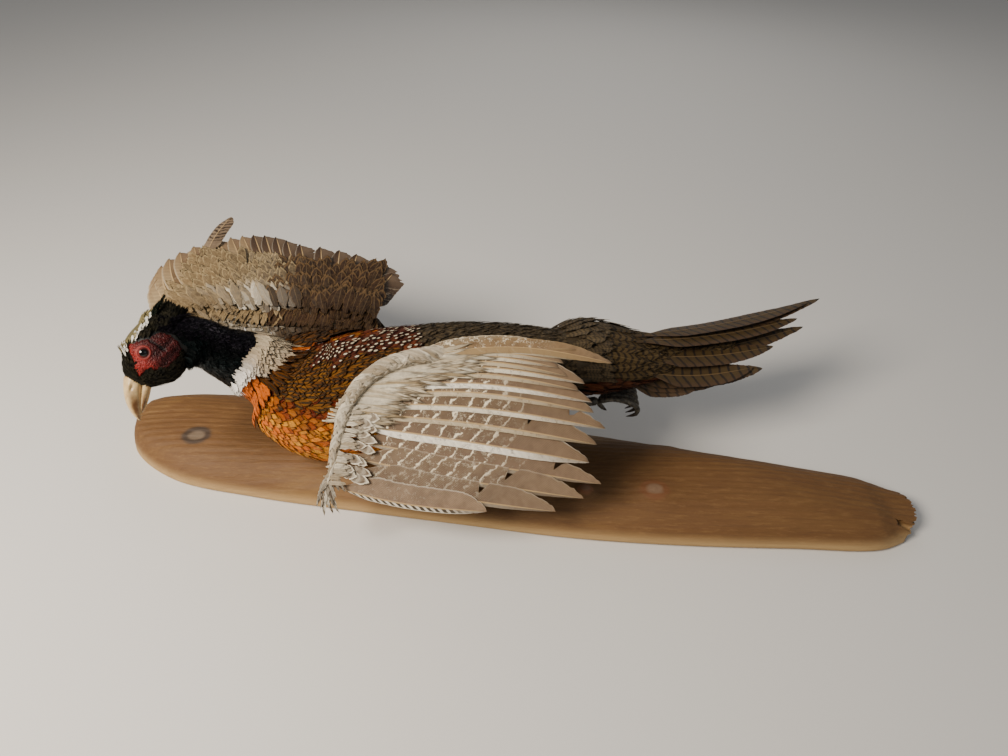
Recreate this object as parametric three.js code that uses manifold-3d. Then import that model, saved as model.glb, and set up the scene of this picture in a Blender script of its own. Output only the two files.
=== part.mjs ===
// A cock ring-necked pheasant, mounted with half-spread wings on a slab of driftwood.
// Millimetres. +X runs from the bill to the tail, +Y is the bird's right, +Z is up.
// The origin is the middle of the driftwood's flat underside.
import * as THREE from "three";
import { mergeVertices } from "three/addons/utils/BufferGeometryUtils.js";
import Module from "manifold-3d";

const wasm = await Module();
wasm.setup();

// ---- driving dimensions ----
const GAP = 0.35; // clearance between neighbouring pieces
const DOME = 0.1; // share of a rounded form's length that each domed end takes

const WOOD_LENGTH = 800;
const WOOD_CROWN = 35; // height of the slab along its middle
const WOOD_RIM = 7; // height of its worn edge
const WOOD_ROWS = 24;
const WOOD_COLUMNS = 6;

const HEAD_AT = new THREE.Vector3(-308, -36, 176);
const HEAD_FORWARD = new THREE.Vector3(-0.22, -0.69, -0.69).normalize();
const HEAD_LEFT = new THREE.Vector3(0.442, -0.7, 0.559).cross(HEAD_FORWARD).cross(HEAD_FORWARD)
  .negate().normalize();
const HEAD_UP = new THREE.Vector3().crossVectors(HEAD_FORWARD, HEAD_LEFT).normalize();

const EYE_RADIUS = 5.4;
const EYE_FORWARD = 10.7;
const EYE_UP = 2.9;
const EYE_OUT = 14.2;

// Each layer of a wing: how many feathers and rows of facets, how high it lies and how thick.
const PRIMARY_LAYER = { count: 10, rows: 5, lift: 0, thickness: 1.2 };
const SECONDARY_LAYER = { count: 10, rows: 4, lift: 2.2, thickness: 1.2 };
const COVERT_LAYER = { count: 6, rows: 3, lift: 4.6, thickness: 2 };

const TAIL_VANE = 1.2; // thickness of the tail's sheet
const TAIL_SAG = 7;
const TAIL_ROWS = 6;
const TAIL_FACETS = 4; // facets across each tail feather

const TARSUS_RADIUS = 3.6;
const TOE_RADIUS = 2.6;

// ---- finishes ----
const finish = (color, roughness, metalness = 0) =>
  new THREE.MeshStandardMaterial({ color, roughness, metalness });
const WEATHERED_WOOD = finish(0xb08a5a, 0.75);
const COPPER_FEATHER = finish(0xb0602a, 0.7);
const GLOSSY_NECK = finish(0x14201f, 0.35);
const WATTLE_RED = finish(0x8f2a22, 0.55);
const HORN = finish(0xc9b892, 0.4);
const GLASS_EYE = finish(0x241208, 0.05);
const PALE_QUILL = finish(0xa8937c, 0.7);
const TAIL_OLIVE = finish(0x7a6a48, 0.7);
const GREY_SCALE = finish(0x5c574c, 0.6);

// ---- small tools ----
const point = (x, y, z) => new THREE.Vector3(x, y, z);
const mix = THREE.MathUtils.lerp;
const ease = THREE.MathUtils.smoothstep;

// A smooth path through a few points, as a function of 0..1.
function path(points) {
  const curve = new THREE.CatmullRomCurve3(points, false, "centripetal");
  return (t) => curve.getPoint(THREE.MathUtils.clamp(t, 0, 1));
}

// A smooth number that takes these values at even steps of 0..1.
function graded(values) {
  const last = values.length - 1;
  return (t) => {
    const s = THREE.MathUtils.clamp(t, 0, 1) * last;
    const i = Math.min(Math.floor(s), last - 1);
    const f = s - i;
    const a = values[Math.max(i - 1, 0)];
    const b = values[i];
    const c = values[i + 1];
    const d = values[Math.min(i + 2, last)];
    const near = (c - a) / 2;
    const far = (d - b) / 2;
    const slope = f * (near + f * (3 * (c - b) - 2 * near - far + f * (near + far - 2 * (c - b))));
    return b + slope;
  };
}

// Moves every vertex of a three.js geometry by a function and returns the closed solid.
function solid(geometry, place) {
  const bare = geometry.clone();
  bare.deleteAttribute("normal");
  bare.deleteAttribute("uv");
  const shape = mergeVertices(bare, 1e-5);
  const spots = shape.attributes.position;
  const v = new THREE.Vector3();
  for (let i = 0; i < spots.count; i += 1) {
    v.copy(place(v.fromBufferAttribute(spots, i)));
    spots.setXYZ(i, v.x, v.y, v.z);
  }
  const corners = new Uint32Array(shape.index.array);
  const build = () => new wasm.Manifold(
    new wasm.Mesh({ numProp: 3, vertProperties: spots.array, triVerts: corners }),
  );
  const first = build();
  if (first.volume() > 0) return first;
  for (let i = 0; i < corners.length; i += 3) {
    [corners[i + 1], corners[i + 2]] = [corners[i + 2], corners[i + 1]];
  }
  return build();
}

const join = (pieces) => pieces.reduce((whole, piece) => whole.add(piece));

// A named mesh from a solid; stray slivers that a cut leaves are dropped.
function piece(name, body, material) {
  const parts = body.decompose().sort((a, b) => b.volume() - a.volume());
  const mesh = parts[0].getMesh();
  const geometry = new THREE.BufferGeometry();
  geometry.setAttribute("position", new THREE.BufferAttribute(mesh.vertProperties, 3));
  geometry.setIndex(new THREE.BufferAttribute(mesh.triVerts, 1));
  const made = new THREE.Mesh(geometry, material);
  made.name = name;
  return made;
}

// A round form along a path, with domed ends. Its half width and half height are functions of 0..1.
function bodyAlong(spine, up, wide, high, sides, rings, grow = 0) {
  return solid(new THREE.SphereGeometry(1, sides, rings), (v) => {
    const t = Math.acos(THREE.MathUtils.clamp(v.y, -1, 1)) / Math.PI;
    const dome = Math.sqrt(1 - (1 - Math.min(1, Math.min(t, 1 - t) / DOME)) ** 2);
    const ring = Math.hypot(v.x, v.z);
    const tangent = spine(t + 0.01).sub(spine(t - 0.01)).normalize();
    const side = new THREE.Vector3().crossVectors(up(t), tangent).normalize();
    const top = new THREE.Vector3().crossVectors(tangent, side);
    if (ring < 1e-6) return spine(t).addScaledVector(tangent, t > 0.5 ? grow : -grow);
    return spine(t)
      .addScaledVector(side, (v.x / ring) * (wide(t) * dome + grow))
      .addScaledVector(top, (v.z / ring) * (high(t) * dome + grow));
  });
}

const upright = () => point(0, 0, 1);

// ---- driftwood ----
const edgePoint = (share, y) => point(share * WOOD_LENGTH, y, 0);
const nearEdge = path([
  edgePoint(-0.5, 32),
  edgePoint(-0.482, -2),
  edgePoint(-0.42, -37),
  edgePoint(-0.31, -56),
  edgePoint(-0.18, -69),
  edgePoint(-0.06, -80),
  edgePoint(0.07, -91),
  edgePoint(0.2, -95),
  edgePoint(0.33, -94),
  edgePoint(0.43, -92),
  edgePoint(0.468, -80),
]);
const farEdge = path([
  edgePoint(-0.5, 52),
  edgePoint(-0.485, 66),
  edgePoint(-0.42, 77),
  edgePoint(-0.31, 76),
  edgePoint(-0.18, 67),
  edgePoint(-0.06, 59),
  edgePoint(0.07, 42),
  edgePoint(0.2, 22),
  edgePoint(0.33, 4),
  edgePoint(0.43, -9),
  edgePoint(0.474, -24),
]);
const crown = graded([0.4, 0.85, 1, 1, 1, 1, 0.97, 0.8, 0.5]);

function woodHeight(along, across) {
  const dome = (1 - Math.abs(2 * across - 1) ** 3) ** 0.7;
  const ripple = 1.1 * Math.sin(along * 23 + across * 4) + 0.8 * Math.sin(along * 9 - across * 7);
  return mix(WOOD_RIM, WOOD_CROWN, dome) * crown(along) + ripple * dome;
}

function slab(grow) {
  return solid(new THREE.BoxGeometry(1, 1, 1, WOOD_ROWS, WOOD_COLUMNS, 1), (v) => {
    const along = v.x + 0.5;
    const across = v.y + 0.5;
    const edge = nearEdge(along).lerp(farEdge(along), across);
    const bulge = (1 - (2 * across - 1) ** 2) * 12 * ease(v.x, 0.44, 0.5);
    return point(edge.x + bulge, edge.y, v.z < 0 ? 0 : woodHeight(along, across) + grow);
  });
}

function driftwood() {
  const knob = solid(new THREE.SphereGeometry(1, 10, 6), (v) => {
    return point(68 + 10 * v.x, -60 + 9 * v.y, 32 + 9 * v.z);
  });
  const slot = solid(new THREE.CylinderGeometry(1, 1, 1, 8, 1), (v) => {
    const run = (v.y + 0.5) * 48;
    return point(347 + run, -65 - run * 0.3 + 3.6 * v.x, 13 + 4.4 * v.z);
  });
  const notch = solid(new THREE.CylinderGeometry(8, 6, 40, 7, 1), (v) => {
    return point(391 + v.x, -35 + 0.6 * v.z, 20 + v.y);
  });
  return slab(0).add(knob).subtract(slot).subtract(notch);
}

// ---- trunk, neck and head ----
const trunkSpine = path([
  point(-238, -12, 122),
  point(-224, -13, 118),
  point(-204, -17, 107),
  point(-173, -16, 98),
  point(-136, -4, 99),
  point(-92, 10, 101),
  point(-44, 22, 105),
  point(8, 32, 108),
  point(60, 40, 110),
  point(112, 47, 111),
]);
const trunkWide = graded([22, 34, 50, 59, 60, 57, 52, 43, 30, 14]);
const trunkHigh = graded([22, 34, 50, 59, 60, 56, 50, 41, 27, 12]);
const trunk = (grow) => bodyAlong(trunkSpine, upright, trunkWide, trunkHigh, 22, 17, grow);

const headPoint = (forward, up, left) => HEAD_AT.clone()
  .addScaledVector(HEAD_FORWARD, forward)
  .addScaledVector(HEAD_UP, up)
  .addScaledVector(HEAD_LEFT, left);

const neckSpine = path([
  point(-204, -14, 112),
  point(-238, -13, 136),
  point(-258, -20, 154),
  headPoint(-11, -38, 0),
  headPoint(-9, -18, 0),
  headPoint(-5, -4, 0),
]);
const neckWide = graded([31, 29, 23, 20, 19, 17]);
const neckHigh = graded([32, 30, 24, 21.5, 21, 17]);
const neck = bodyAlong(neckSpine, upright, neckWide, neckHigh, 16, 12);

const headSpine = path([
  headPoint(-31, -8, 0),
  headPoint(-16, -6.5, 0),
  headPoint(0, -6, 0),
  headPoint(16, -4.5, 0),
  headPoint(29, -1, 0),
  headPoint(38, 1, 0),
]);
const headWide = graded([10, 15, 18.5, 19, 15, 9]);
const headHigh = graded([10, 18.5, 25, 25.5, 17, 10]);
const head = (grow) => bodyAlong(headSpine, () => HEAD_UP, headWide, headHigh, 16, 12, grow);

// The two blunt tufts behind the crown.
function earTuft(side) {
  const along = path([headPoint(-20, 4, 9 * side), headPoint(-29, 3, 11 * side),
    headPoint(-37, 1, 12 * side)]);
  const thick = graded([4.2, 4, 2.6]);
  return bodyAlong(along, () => HEAD_UP, thick, thick, 6, 5);
}

// ---- bill and eyes ----
const upperLine = path([headPoint(32, 4.2, 0), headPoint(46, 1.2, 0), headPoint(56, -3.4, 0),
  headPoint(66, -9.4, 0)]);
const lowerLine = path([headPoint(33, -6, 0), headPoint(46, -7.7, 0), headPoint(59, -9, 0)]);
const billUpper = bodyAlong(upperLine, () => HEAD_UP, graded([8, 6.2, 4, 1.2]),
  graded([7.2, 6.6, 5, 1.2]), 12, 9);
const billLower = (grow) => bodyAlong(lowerLine, () => HEAD_UP, graded([7, 5.2, 1.8]),
  graded([4, 3.3, 1.1]), 10, 7, grow);

const eye = (side, grow = 0) => {
  const centre = headPoint(EYE_FORWARD, EYE_UP, EYE_OUT * side);
  return solid(new THREE.SphereGeometry(EYE_RADIUS + grow, 10, 8), (v) => v.add(centre));
};

// ---- wings ----
// A wing lies on a curved sheet: a runs back along the feathers, b runs across them, and n is out.
function wingSheet(wing) {
  const out = new THREE.Vector3().crossVectors(wing.along, wing.across).normalize()
    .multiplyScalar(wing.outward);
  return (a, b, n) => {
    const sag = wing.sagAlong * ((a - wing.middle.x) / 100) ** 2
      + wing.sagAcross * ((b - wing.middle.y) / 100) ** 2;
    return wing.origin.clone()
      .addScaledVector(wing.along, a)
      .addScaledVector(wing.across, b)
      .addScaledVector(out, n - sag);
  };
}

// Feathers side by side, as one sheet whose far edge is cut into their tips.
function fan(wing, row) {
  const sheet = wingSheet(wing);
  const columns = row.count * 2;
  return solid(new THREE.BoxGeometry(1, 1, 1, row.rows, columns, 1), (v) => {
    const t = v.x + 0.5;
    const u = v.y + 0.5;
    const between = Math.round(u * columns) % 2 === 0 ? 1 : 0;
    const reach = t * (1 - row.notch * between * ease(t, 0.5, 1));
    const root = row.root(u);
    const tip = row.tip(u);
    return sheet(
      mix(root.x, tip.x, reach),
      mix(root.y, tip.y, reach) + row.bow(u) * Math.sin(Math.PI * t),
      row.lift + row.thickness * v.z * mix(1, 0.7, t),
    );
  });
}

// The feathered arm: a flat rounded bar along the wing's leading edge.
function arm(wing, grow) {
  const sheet = wingSheet(wing);
  const line = path(wing.armLine);
  const spine = (t) => {
    const p = line(t);
    return sheet(p.x, p.y, p.z);
  };
  const out = () => sheet(0, 0, 1).sub(sheet(0, 0, 0));
  return bodyAlong(spine, out, wing.armWide, wing.armHigh, 10, 14, grow);
}

// The alula: a short pointed tuft at the bend of the wing.
function alula(wing) {
  const sheet = wingSheet(wing);
  const line = path(wing.alulaLine);
  const spine = (t) => {
    const p = line(t);
    return sheet(p.x, p.y, p.z);
  };
  const out = () => sheet(0, 0, 1).sub(sheet(0, 0, 0));
  return bodyAlong(spine, out, graded([6, 5, 2.4]), graded([1.6, 1.4, 1]), 8, 6);
}

const LEFT_WING = {
  side: "left",
  origin: point(-162, -97, 79),
  along: point(1, 0, 0),
  across: point(0, 0.5708, 0.8211).normalize(),
  outward: 1,
  middle: new THREE.Vector2(95, 45),
  sagAlong: 4,
  sagAcross: 7,
  primaries: {
    root: path([point(9, -3, 0), point(18, 32, 0), point(34, 62, 0)]),
    tip: path([point(128, -24, 0), point(158, -25, 0), point(203, -23, 0), point(223, -11, 0),
      point(238, 2, 0), point(228, 24, 0), point(232, 40, 0), point(238, 53, 0),
      point(229, 66, 0)]),
    bow: (u) => mix(-5, 4, u),
    notch: 0.1,
  },
  secondaries: {
    root: path([point(34, 60, 0), point(50, 84, 0), point(78, 98, 0), point(110, 104, 0)]),
    tip: path([point(231, 64, 0), point(226, 76, 0), point(217, 88, 0), point(198, 104, 0),
      point(239, 110, 0), point(214, 122, 0)]),
    bow: () => 6,
    notch: 0.08,
  },
  coverts: {
    root: path([point(8, 2, 0), point(20, 50, 0), point(42, 88, 0), point(104, 112, 0)]),
    tip: path([point(44, 2, 0), point(88, 44, 0), point(118, 84, 0), point(150, 112, 0)]),
    bow: () => 6,
    notch: 0.12,
  },
  armLine: [point(2, -4, 3), point(9, 35, 4), point(19, 70, 5), point(34, 90, 5),
    point(56, 104, 4), point(84, 111, 2), point(108, 110, -12), point(112, 100, -44)],
  armWide: graded([5, 6.5, 8, 8.5, 9, 9.5, 11, 13]),
  armHigh: graded([4.5, 5.5, 6.5, 7, 7.5, 8, 9, 11]),
  alulaLine: [point(4, 20, 9), point(-3, 2, 9), point(-7, -12, 6), point(-2, -24, 3)],
};

const RIGHT_WING = {
  side: "right",
  origin: point(-130, 45, 150),
  along: point(-1, 0, 0),
  across: point(0, 0.9986, 0.0523).normalize(),
  outward: -1,
  middle: new THREE.Vector2(110, 55),
  sagAlong: 5,
  sagAcross: 9,
  primaries: {
    root: path([point(172, 4, 0), point(148, 4, 0), point(118, 8, 0)]),
    tip: path([point(226, 48, 0), point(243, 80, 0), point(238, 108, 0), point(216, 128, 0),
      point(203, 184, 0), point(178, 146, 0), point(160, 150, 0), point(137, 143, 0)]),
    bow: (u) => mix(-16, 0, u),
    notch: 0.12,
  },
  secondaries: {
    root: path([point(122, 6, 0), point(84, 4, 0), point(46, 8, 0), point(24, 14, 0)]),
    tip: path([point(140, 142, 0), point(112, 128, 0), point(74, 122, 0), point(40, 112, 0),
      point(8, 98, 0), point(-4, 74, 0)]),
    bow: () => 0,
    notch: 0.06,
  },
  coverts: {
    root: path([point(172, 4, 0), point(120, -2, 0), point(60, 0, 0), point(14, 8, 0)]),
    tip: path([point(196, 50, 0), point(136, 72, 0), point(70, 74, 0), point(10, 64, 0)]),
    bow: () => 0,
    notch: 0.12,
  },
  armLine: [point(182, 12, 3), point(152, -2, 4), point(118, -8, 5), point(84, -8, 5),
    point(52, -4, 3), point(20, 4, -2), point(0, 2, -26)],
  armWide: graded([8, 11, 13, 14, 14, 13, 11]),
  armHigh: graded([5, 6, 7, 8, 9, 10, 10]),
  alulaLine: [point(150, -8, 9), point(170, -4, 9), point(188, 6, 8), point(200, 18, 7)],
};

function wingPieces(wing, body) {
  const bar = arm(wing, 0).subtract(body);
  const clear = arm(wing, GAP).add(body);
  const name = (what) => `wing_${wing.side}_${what}`;
  const layer = (what, row) => {
    const sheet = fan(wing, { ...wing[what], ...row });
    return piece(name(what), sheet.subtract(clear), PALE_QUILL);
  };
  return [
    piece(name("arm"), bar, PALE_QUILL),
    layer("coverts", COVERT_LAYER),
    layer("secondaries", SECONDARY_LAYER),
    layer("primaries", PRIMARY_LAYER),
    piece(name("alula"), alula(wing).subtract(clear), PALE_QUILL),
  ];
}

// ---- tail ----
// Long pointed feathers in a low roof, from the lowest left one over the ridge to the right.
// Each has a root, a tip and the share of its length left free of the next one.
const TAIL_FEATHERS = [
  { root: point(108, 27, 93), tip: point(204, 32, 92), free: 0.34 },
  { root: point(100, 30, 103), tip: point(246, 51, 100), free: 0.4 },
  { root: point(90, 36, 110), tip: point(296, 101, 116), free: 0.2 },
  { root: point(92, 46, 112), tip: point(317, 129, 132), free: 0.38 },
  { root: point(90, 57, 108), tip: point(252, 124, 108), free: 0.36 },
  { root: point(86, 67, 100), tip: point(198, 106, 95), free: 0.3 },
];

function tailFan() {
  const count = TAIL_FEATHERS.length;
  const rootLine = path(TAIL_FEATHERS.map((feather) => feather.root));
  const tipLine = path(TAIL_FEATHERS.map((feather) => feather.tip));
  const grid = new THREE.BoxGeometry(1, 1, 1, TAIL_ROWS, count * TAIL_FACETS, 1);
  return solid(grid, (v) => {
    const t = v.x + 0.5;
    const across = (v.y + 0.5) * count;
    const spot = THREE.MathUtils.clamp((across - 0.5) / (count - 1), 0, 1);
    const edge = Math.round(across);
    const fromShaft = 1 - 2 * Math.abs(across - edge);
    const toEdge = 1 - fromShaft;
    const { free } = TAIL_FEATHERS[THREE.MathUtils.clamp(edge - 1, 0, count - 1)];
    const reach = t * (1 - free * (1 - toEdge) ** 1.5 * ease(t, 0.3, 1));
    const side = THREE.MathUtils.clamp(across - 0.5, -0.5, 0) + Math.max(across - count + 0.5, 0);
    return rootLine(spot)
      .lerp(tipLine(spot), reach)
      .add(point(0, 26 * side * reach, 0))
      .add(point(0, 0, TAIL_VANE * v.z - TAIL_SAG * Math.sin(Math.PI * reach)));
  });
}

const tailCoverts = (grow) => bodyAlong(
  path([point(16, 38, 106), point(70, 48, 110), point(126, 55, 107), point(176, 69, 108)]),
  upright,
  graded([32, 44, 34, 15]),
  graded([32, 36, 21, 9]),
  14,
  8,
  grow,
);

// ---- legs, drawn up and trailing under the tail ----
function thigh(side, grow) {
  const y = 17 + 20 * side;
  const along = path([point(-66, y - 6, 70), point(-32, y, 66), point(4, y + 6, 66),
    point(34, y + 8, 68)]);
  const thick = graded([15, 18, 14, 7]);
  return bodyAlong(along, upright, thick, thick, 10, 8, grow);
}

function foot(side) {
  const y = 46 + 13 * side;
  const hock = point(22, y - 13, 65);
  const ankle = point(84, y - 1, 66);
  const tarsus = bodyAlong(path([hock, point(54, y - 7, 65), ankle]), upright,
    graded([5, TARSUS_RADIUS, 5]), graded([5, TARSUS_RADIUS, 5]), 8, 8);
  const toes = [-1, 0, 1].map((k) => {
    const curl = path([ankle, point(100, y + 6 * k, 73), point(119, y + 9 * k, 69),
      point(124, y + 8 * k, 57), point(112, y + 6 * k, 50)]);
    const thick = graded([TOE_RADIUS + 1, TOE_RADIUS, TOE_RADIUS * 0.9, 1.4]);
    return bodyAlong(curl, () => point(0, 1, 0), thick, thick, 7, 9);
  });
  const thumb = graded([2.6, 2.2, 1.4]);
  const hind = bodyAlong(path([ankle, point(87, y, 58), point(94, y, 52)]), () => point(0, 1, 0),
    thumb, thumb, 7, 5);
  return join([tarsus, ...toes, hind]);
}

// ---- the mount ----
const trunkBody = trunk(0).subtract(slab(GAP));
const trunkClear = trunk(GAP);
const headClear = head(GAP);
const covertsClear = tailCoverts(GAP);
const bodyClear = join([trunkClear, thigh(-1, GAP), thigh(1, GAP)]);
const wholeHead = join([head(0), earTuft(1), earTuft(-1)]);

const model = new THREE.Group();
model.add(
  piece("driftwood", driftwood(), WEATHERED_WOOD),
  piece("trunk", trunkBody, COPPER_FEATHER),
  piece("neck", neck.subtract(trunkClear).subtract(headClear), GLOSSY_NECK),
  piece("head", wholeHead.subtract(eye(1, GAP)).subtract(eye(-1, GAP)), WATTLE_RED),
  piece("bill_upper", billUpper.subtract(headClear).subtract(billLower(GAP)), HORN),
  piece("bill_lower", billLower(0).subtract(headClear), HORN),
  piece("eye_left", eye(1), GLASS_EYE),
  piece("eye_right", eye(-1), GLASS_EYE),
  ...wingPieces(LEFT_WING, bodyClear),
  ...wingPieces(RIGHT_WING, bodyClear),
  piece("tail_coverts", tailCoverts(0).subtract(trunkClear), TAIL_OLIVE),
  piece("tail_feathers", tailFan().subtract(covertsClear).subtract(trunkClear), TAIL_OLIVE),
);

for (const [side, name] of [[-1, "left"], [1, "right"]]) {
  const claws = foot(side).subtract(bodyClear).subtract(covertsClear);
  model.add(piece(`leg_${name}`, thigh(side, 0).subtract(trunkClear), COPPER_FEATHER));
  model.add(piece(`foot_${name}`, claws, GREY_SCALE));
}

export default model;
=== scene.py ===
"""The looks of a mounted cock pheasant on a slab of driftwood.

Shapes are worked out in millimetres, in the part's own frame, and their meshes are made in metres.
+X runs from the bill to the tail, +Y is the bird's right and +Z is up.
"""

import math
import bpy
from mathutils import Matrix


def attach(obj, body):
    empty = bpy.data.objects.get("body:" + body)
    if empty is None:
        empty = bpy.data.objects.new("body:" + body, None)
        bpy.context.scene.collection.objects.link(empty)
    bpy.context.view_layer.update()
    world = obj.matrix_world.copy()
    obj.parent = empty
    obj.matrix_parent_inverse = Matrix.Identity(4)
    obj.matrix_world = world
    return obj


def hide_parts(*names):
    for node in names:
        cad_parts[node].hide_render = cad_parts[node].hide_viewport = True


bl_info = {
    "name": "Mounted Pheasant",
    "version": (1, 0, 0),
    "blender": (4, 5, 0),
    "location": "View3D > Sidebar > Pheasant",
    "description": "Builds a mounted cock pheasant, feather by feather, on a slab of driftwood",
    "category": "Add Mesh",
}

import bpy
import numpy as np
from mathutils import Matrix, Vector
from mathutils.bvhtree import BVHTree

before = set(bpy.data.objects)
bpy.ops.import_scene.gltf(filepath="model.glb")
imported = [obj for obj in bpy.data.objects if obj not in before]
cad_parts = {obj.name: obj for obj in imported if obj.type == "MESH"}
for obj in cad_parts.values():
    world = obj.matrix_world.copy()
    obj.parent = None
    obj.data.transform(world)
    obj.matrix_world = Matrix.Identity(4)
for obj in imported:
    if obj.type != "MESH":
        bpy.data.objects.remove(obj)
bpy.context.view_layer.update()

MM = 0.001
BODY = "root"
TURN = 2 * math.pi

# ---- the camera's place ----
CAMERA_AT = (-0.012, -0.505, 0.55)
CAMERA_PITCH = math.radians(49.5)
CAMERA_ROLL = math.radians(2.05)
CAMERA_LENS = 25.61
SENSOR_WIDTH = 36.0


# ======================================================================
# Curves and surfaces
# ======================================================================
def unit(v):
    return v / np.maximum(np.linalg.norm(v, axis=-1, keepdims=True), 1e-9)


def mix(a, b, share):
    return a + (b - a) * share


def ease(low, high, x):
    share = np.clip((np.asarray(x, float) - low) / (high - low), 0, 1)
    return share * share * (3 - 2 * share)


def path(*points):
    """A smooth path through a few points. Shares outside 0..1 run straight on from its ends."""
    knots = np.array(points, float)
    last = len(knots) - 1
    around = np.vstack([2 * knots[0] - knots[1], knots, 2 * knots[-1] - knots[-2]])

    def inside(share):
        spot = np.clip(share, 0, 1) * last
        i = np.minimum(spot.astype(int), last - 1)
        f = (spot - i)[..., None]
        before, start, end, after = (around[i + k] for k in range(4))
        first, middle, final = (
            np.maximum(np.linalg.norm(b - a, axis=-1, keepdims=True), 1e-6) ** 0.5
            for a, b in ((before, start), (start, end), (end, after)))
        leave = ((start - before) / first - (end - before) / (first + middle)) * middle
        leave += end - start
        arrive = ((after - end) / final - (after - start) / (middle + final)) * middle
        arrive += end - start
        cubic = 2 * start - 2 * end + leave + arrive
        square = -3 * start + 3 * end - 2 * leave - arrive
        return start + f * (leave + f * (square + f * cubic))

    def at(share):
        share = np.asarray(share, float)
        over = share - np.clip(share, 0, 1)
        near = np.clip(share, 0.005, 0.995)
        heading = (inside(near + 0.005) - inside(near - 0.005)) / 0.01
        return inside(share) + heading * over[..., None]

    return at


def graded(*values):
    """A smooth number, or row of numbers, that takes these values at even steps of 0..1."""
    levels = np.array(values, float)
    last = len(levels) - 1

    def at(share):
        spot = np.clip(np.asarray(share, float), 0, 1) * last
        i = np.minimum(spot.astype(int), last - 1)
        f = spot - i
        if levels.ndim > 1:
            f = f[..., None]
        a, b = levels[np.maximum(i - 1, 0)], levels[i]
        c, d = levels[i + 1], levels[np.minimum(i + 2, last)]
        near, far = (c - a) / 2, (d - b) / 2
        return b + f * (near + f * (3 * (c - b) - 2 * near - far + f * (near + far - 2 * (c - b))))

    return at


class Loft:
    """A round form along a spine, read by the share along it and the turn round from its top."""

    DOME = 0.1
    SAMPLES = 160

    def __init__(self, spine, up, wide, high, depth):
        self.spine, self.up, self.wide, self.high, self.depth = spine, up, wide, high, depth
        self.shares = np.linspace(0, 1, self.SAMPLES)
        self.track = spine(self.shares)
        self.length = np.linalg.norm(np.diff(self.track, axis=0), axis=1).sum()

    def axes(self, t):
        tangent = unit(self.spine(t + 0.01) - self.spine(t - 0.01))
        side = unit(np.cross(self.up, tangent))
        return tangent, side, np.cross(tangent, side)

    def at(self, t, turn, lift=0.0, domed=False):
        t = np.asarray(t, float)
        _, side, top = self.axes(t)
        dome = 1.0
        if domed:
            dome = np.sqrt(1 - (1 - np.minimum(1, np.minimum(t, 1 - t) / self.DOME).clip(0)) ** 2)
        across = (self.wide(t) * dome + lift) * np.sin(turn)
        above = (self.high(t) * dome + lift) * np.cos(turn)
        return self.spine(t) + side * across[..., None] + top * above[..., None]

    def scale(self, t, turn):
        radius = np.hypot(self.wide(t) * np.cos(turn), self.high(t) * np.sin(turn))
        return np.full_like(t, self.length), np.maximum(radius, 3.0)

    def bake_spot(self, t, turn):
        return np.stack([(turn / TURN + 0.5) % 1.0, np.clip(t, 0, 1)], axis=-1)

    def locate(self, points):
        """The share along, the turn and how far out each point is, where 1 is on the surface."""
        t = np.empty(len(points))
        for start in range(0, len(points), 20000):
            some = points[start:start + 20000]
            gap = ((some[:, None, :] - self.track[None]) ** 2).sum(axis=2)
            t[start:start + 20000] = self.shares[gap.argmin(axis=1)]
        _, side, top = self.axes(t)
        off = points - self.spine(t)
        across = (off * side).sum(axis=1)
        above = (off * top).sum(axis=1)
        out = np.hypot(across / self.wide(t), above / self.high(t))
        return t, np.arctan2(across, above), out

    def clear(self, points, margin):
        """Moves the points that lie under the surface out of it."""
        t, _, out = self.locate(points)
        axis = self.spine(t)
        off = points - axis
        distance = np.maximum(np.linalg.norm(off, axis=1), 1e-6)
        push = 1 / np.maximum(out, 0.25) + margin / distance - 1
        push = np.clip(push, 0, 2.0) * ((t > 0.004) & (t < 0.996))
        return points + off * push[:, None]


class Sheet:
    """A wing's curved sheet: a runs back along the feathers, b across them and lift is outward."""

    BAKE_START = 60
    BAKE_SPAN = (340, 300)

    def __init__(self, origin, along, across, outward, middle, sag):
        self.origin = np.array(origin, float)
        self.along, self.across = np.array(along, float), unit(np.array(across, float))
        self.out = unit(np.cross(self.along, self.across)) * outward
        self.middle, self.sag, self.outward = middle, sag, outward

    def at(self, a, b, lift=0.0):
        drop = self.sag[0] * ((a - self.middle[0]) / 100) ** 2
        drop = drop + self.sag[1] * ((b - self.middle[1]) / 100) ** 2
        return (self.origin + self.along * np.asarray(a)[..., None]
                + self.across * np.asarray(b)[..., None] + self.out * (lift - drop)[..., None])

    def scale(self, a, b):
        return np.ones_like(a), np.ones_like(b)

    def bake_spot(self, a, b):
        return (np.stack([a, b], axis=-1) + self.BAKE_START) / self.BAKE_SPAN


# ======================================================================
# The bird's forms, as the part's solids have them
# ======================================================================
UPRIGHT = np.array([0.0, 0.0, 1.0])
SIDEWAYS = np.array([0.0, 1.0, 0.0])

HEAD_AT = np.array([-308.0, -36.0, 176.0])
HEAD_FORWARD = unit(np.array([-0.22, -0.69, -0.69]))
HEAD_LEFT = np.array([0.442, -0.7, 0.559])
HEAD_LEFT = unit(HEAD_LEFT - HEAD_FORWARD * (HEAD_LEFT @ HEAD_FORWARD))
HEAD_UP = np.cross(HEAD_FORWARD, HEAD_LEFT)


def head_point(forward, up, left=0.0):
    forward, up, left = np.broadcast_arrays(*(np.asarray(n, float) for n in (forward, up, left)))
    return (HEAD_AT + HEAD_FORWARD * forward[..., None] + HEAD_UP * up[..., None]
            + HEAD_LEFT * left[..., None])


def head_places(points):
    off = points - HEAD_AT
    return off @ HEAD_FORWARD, off @ HEAD_UP, off @ HEAD_LEFT


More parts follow.
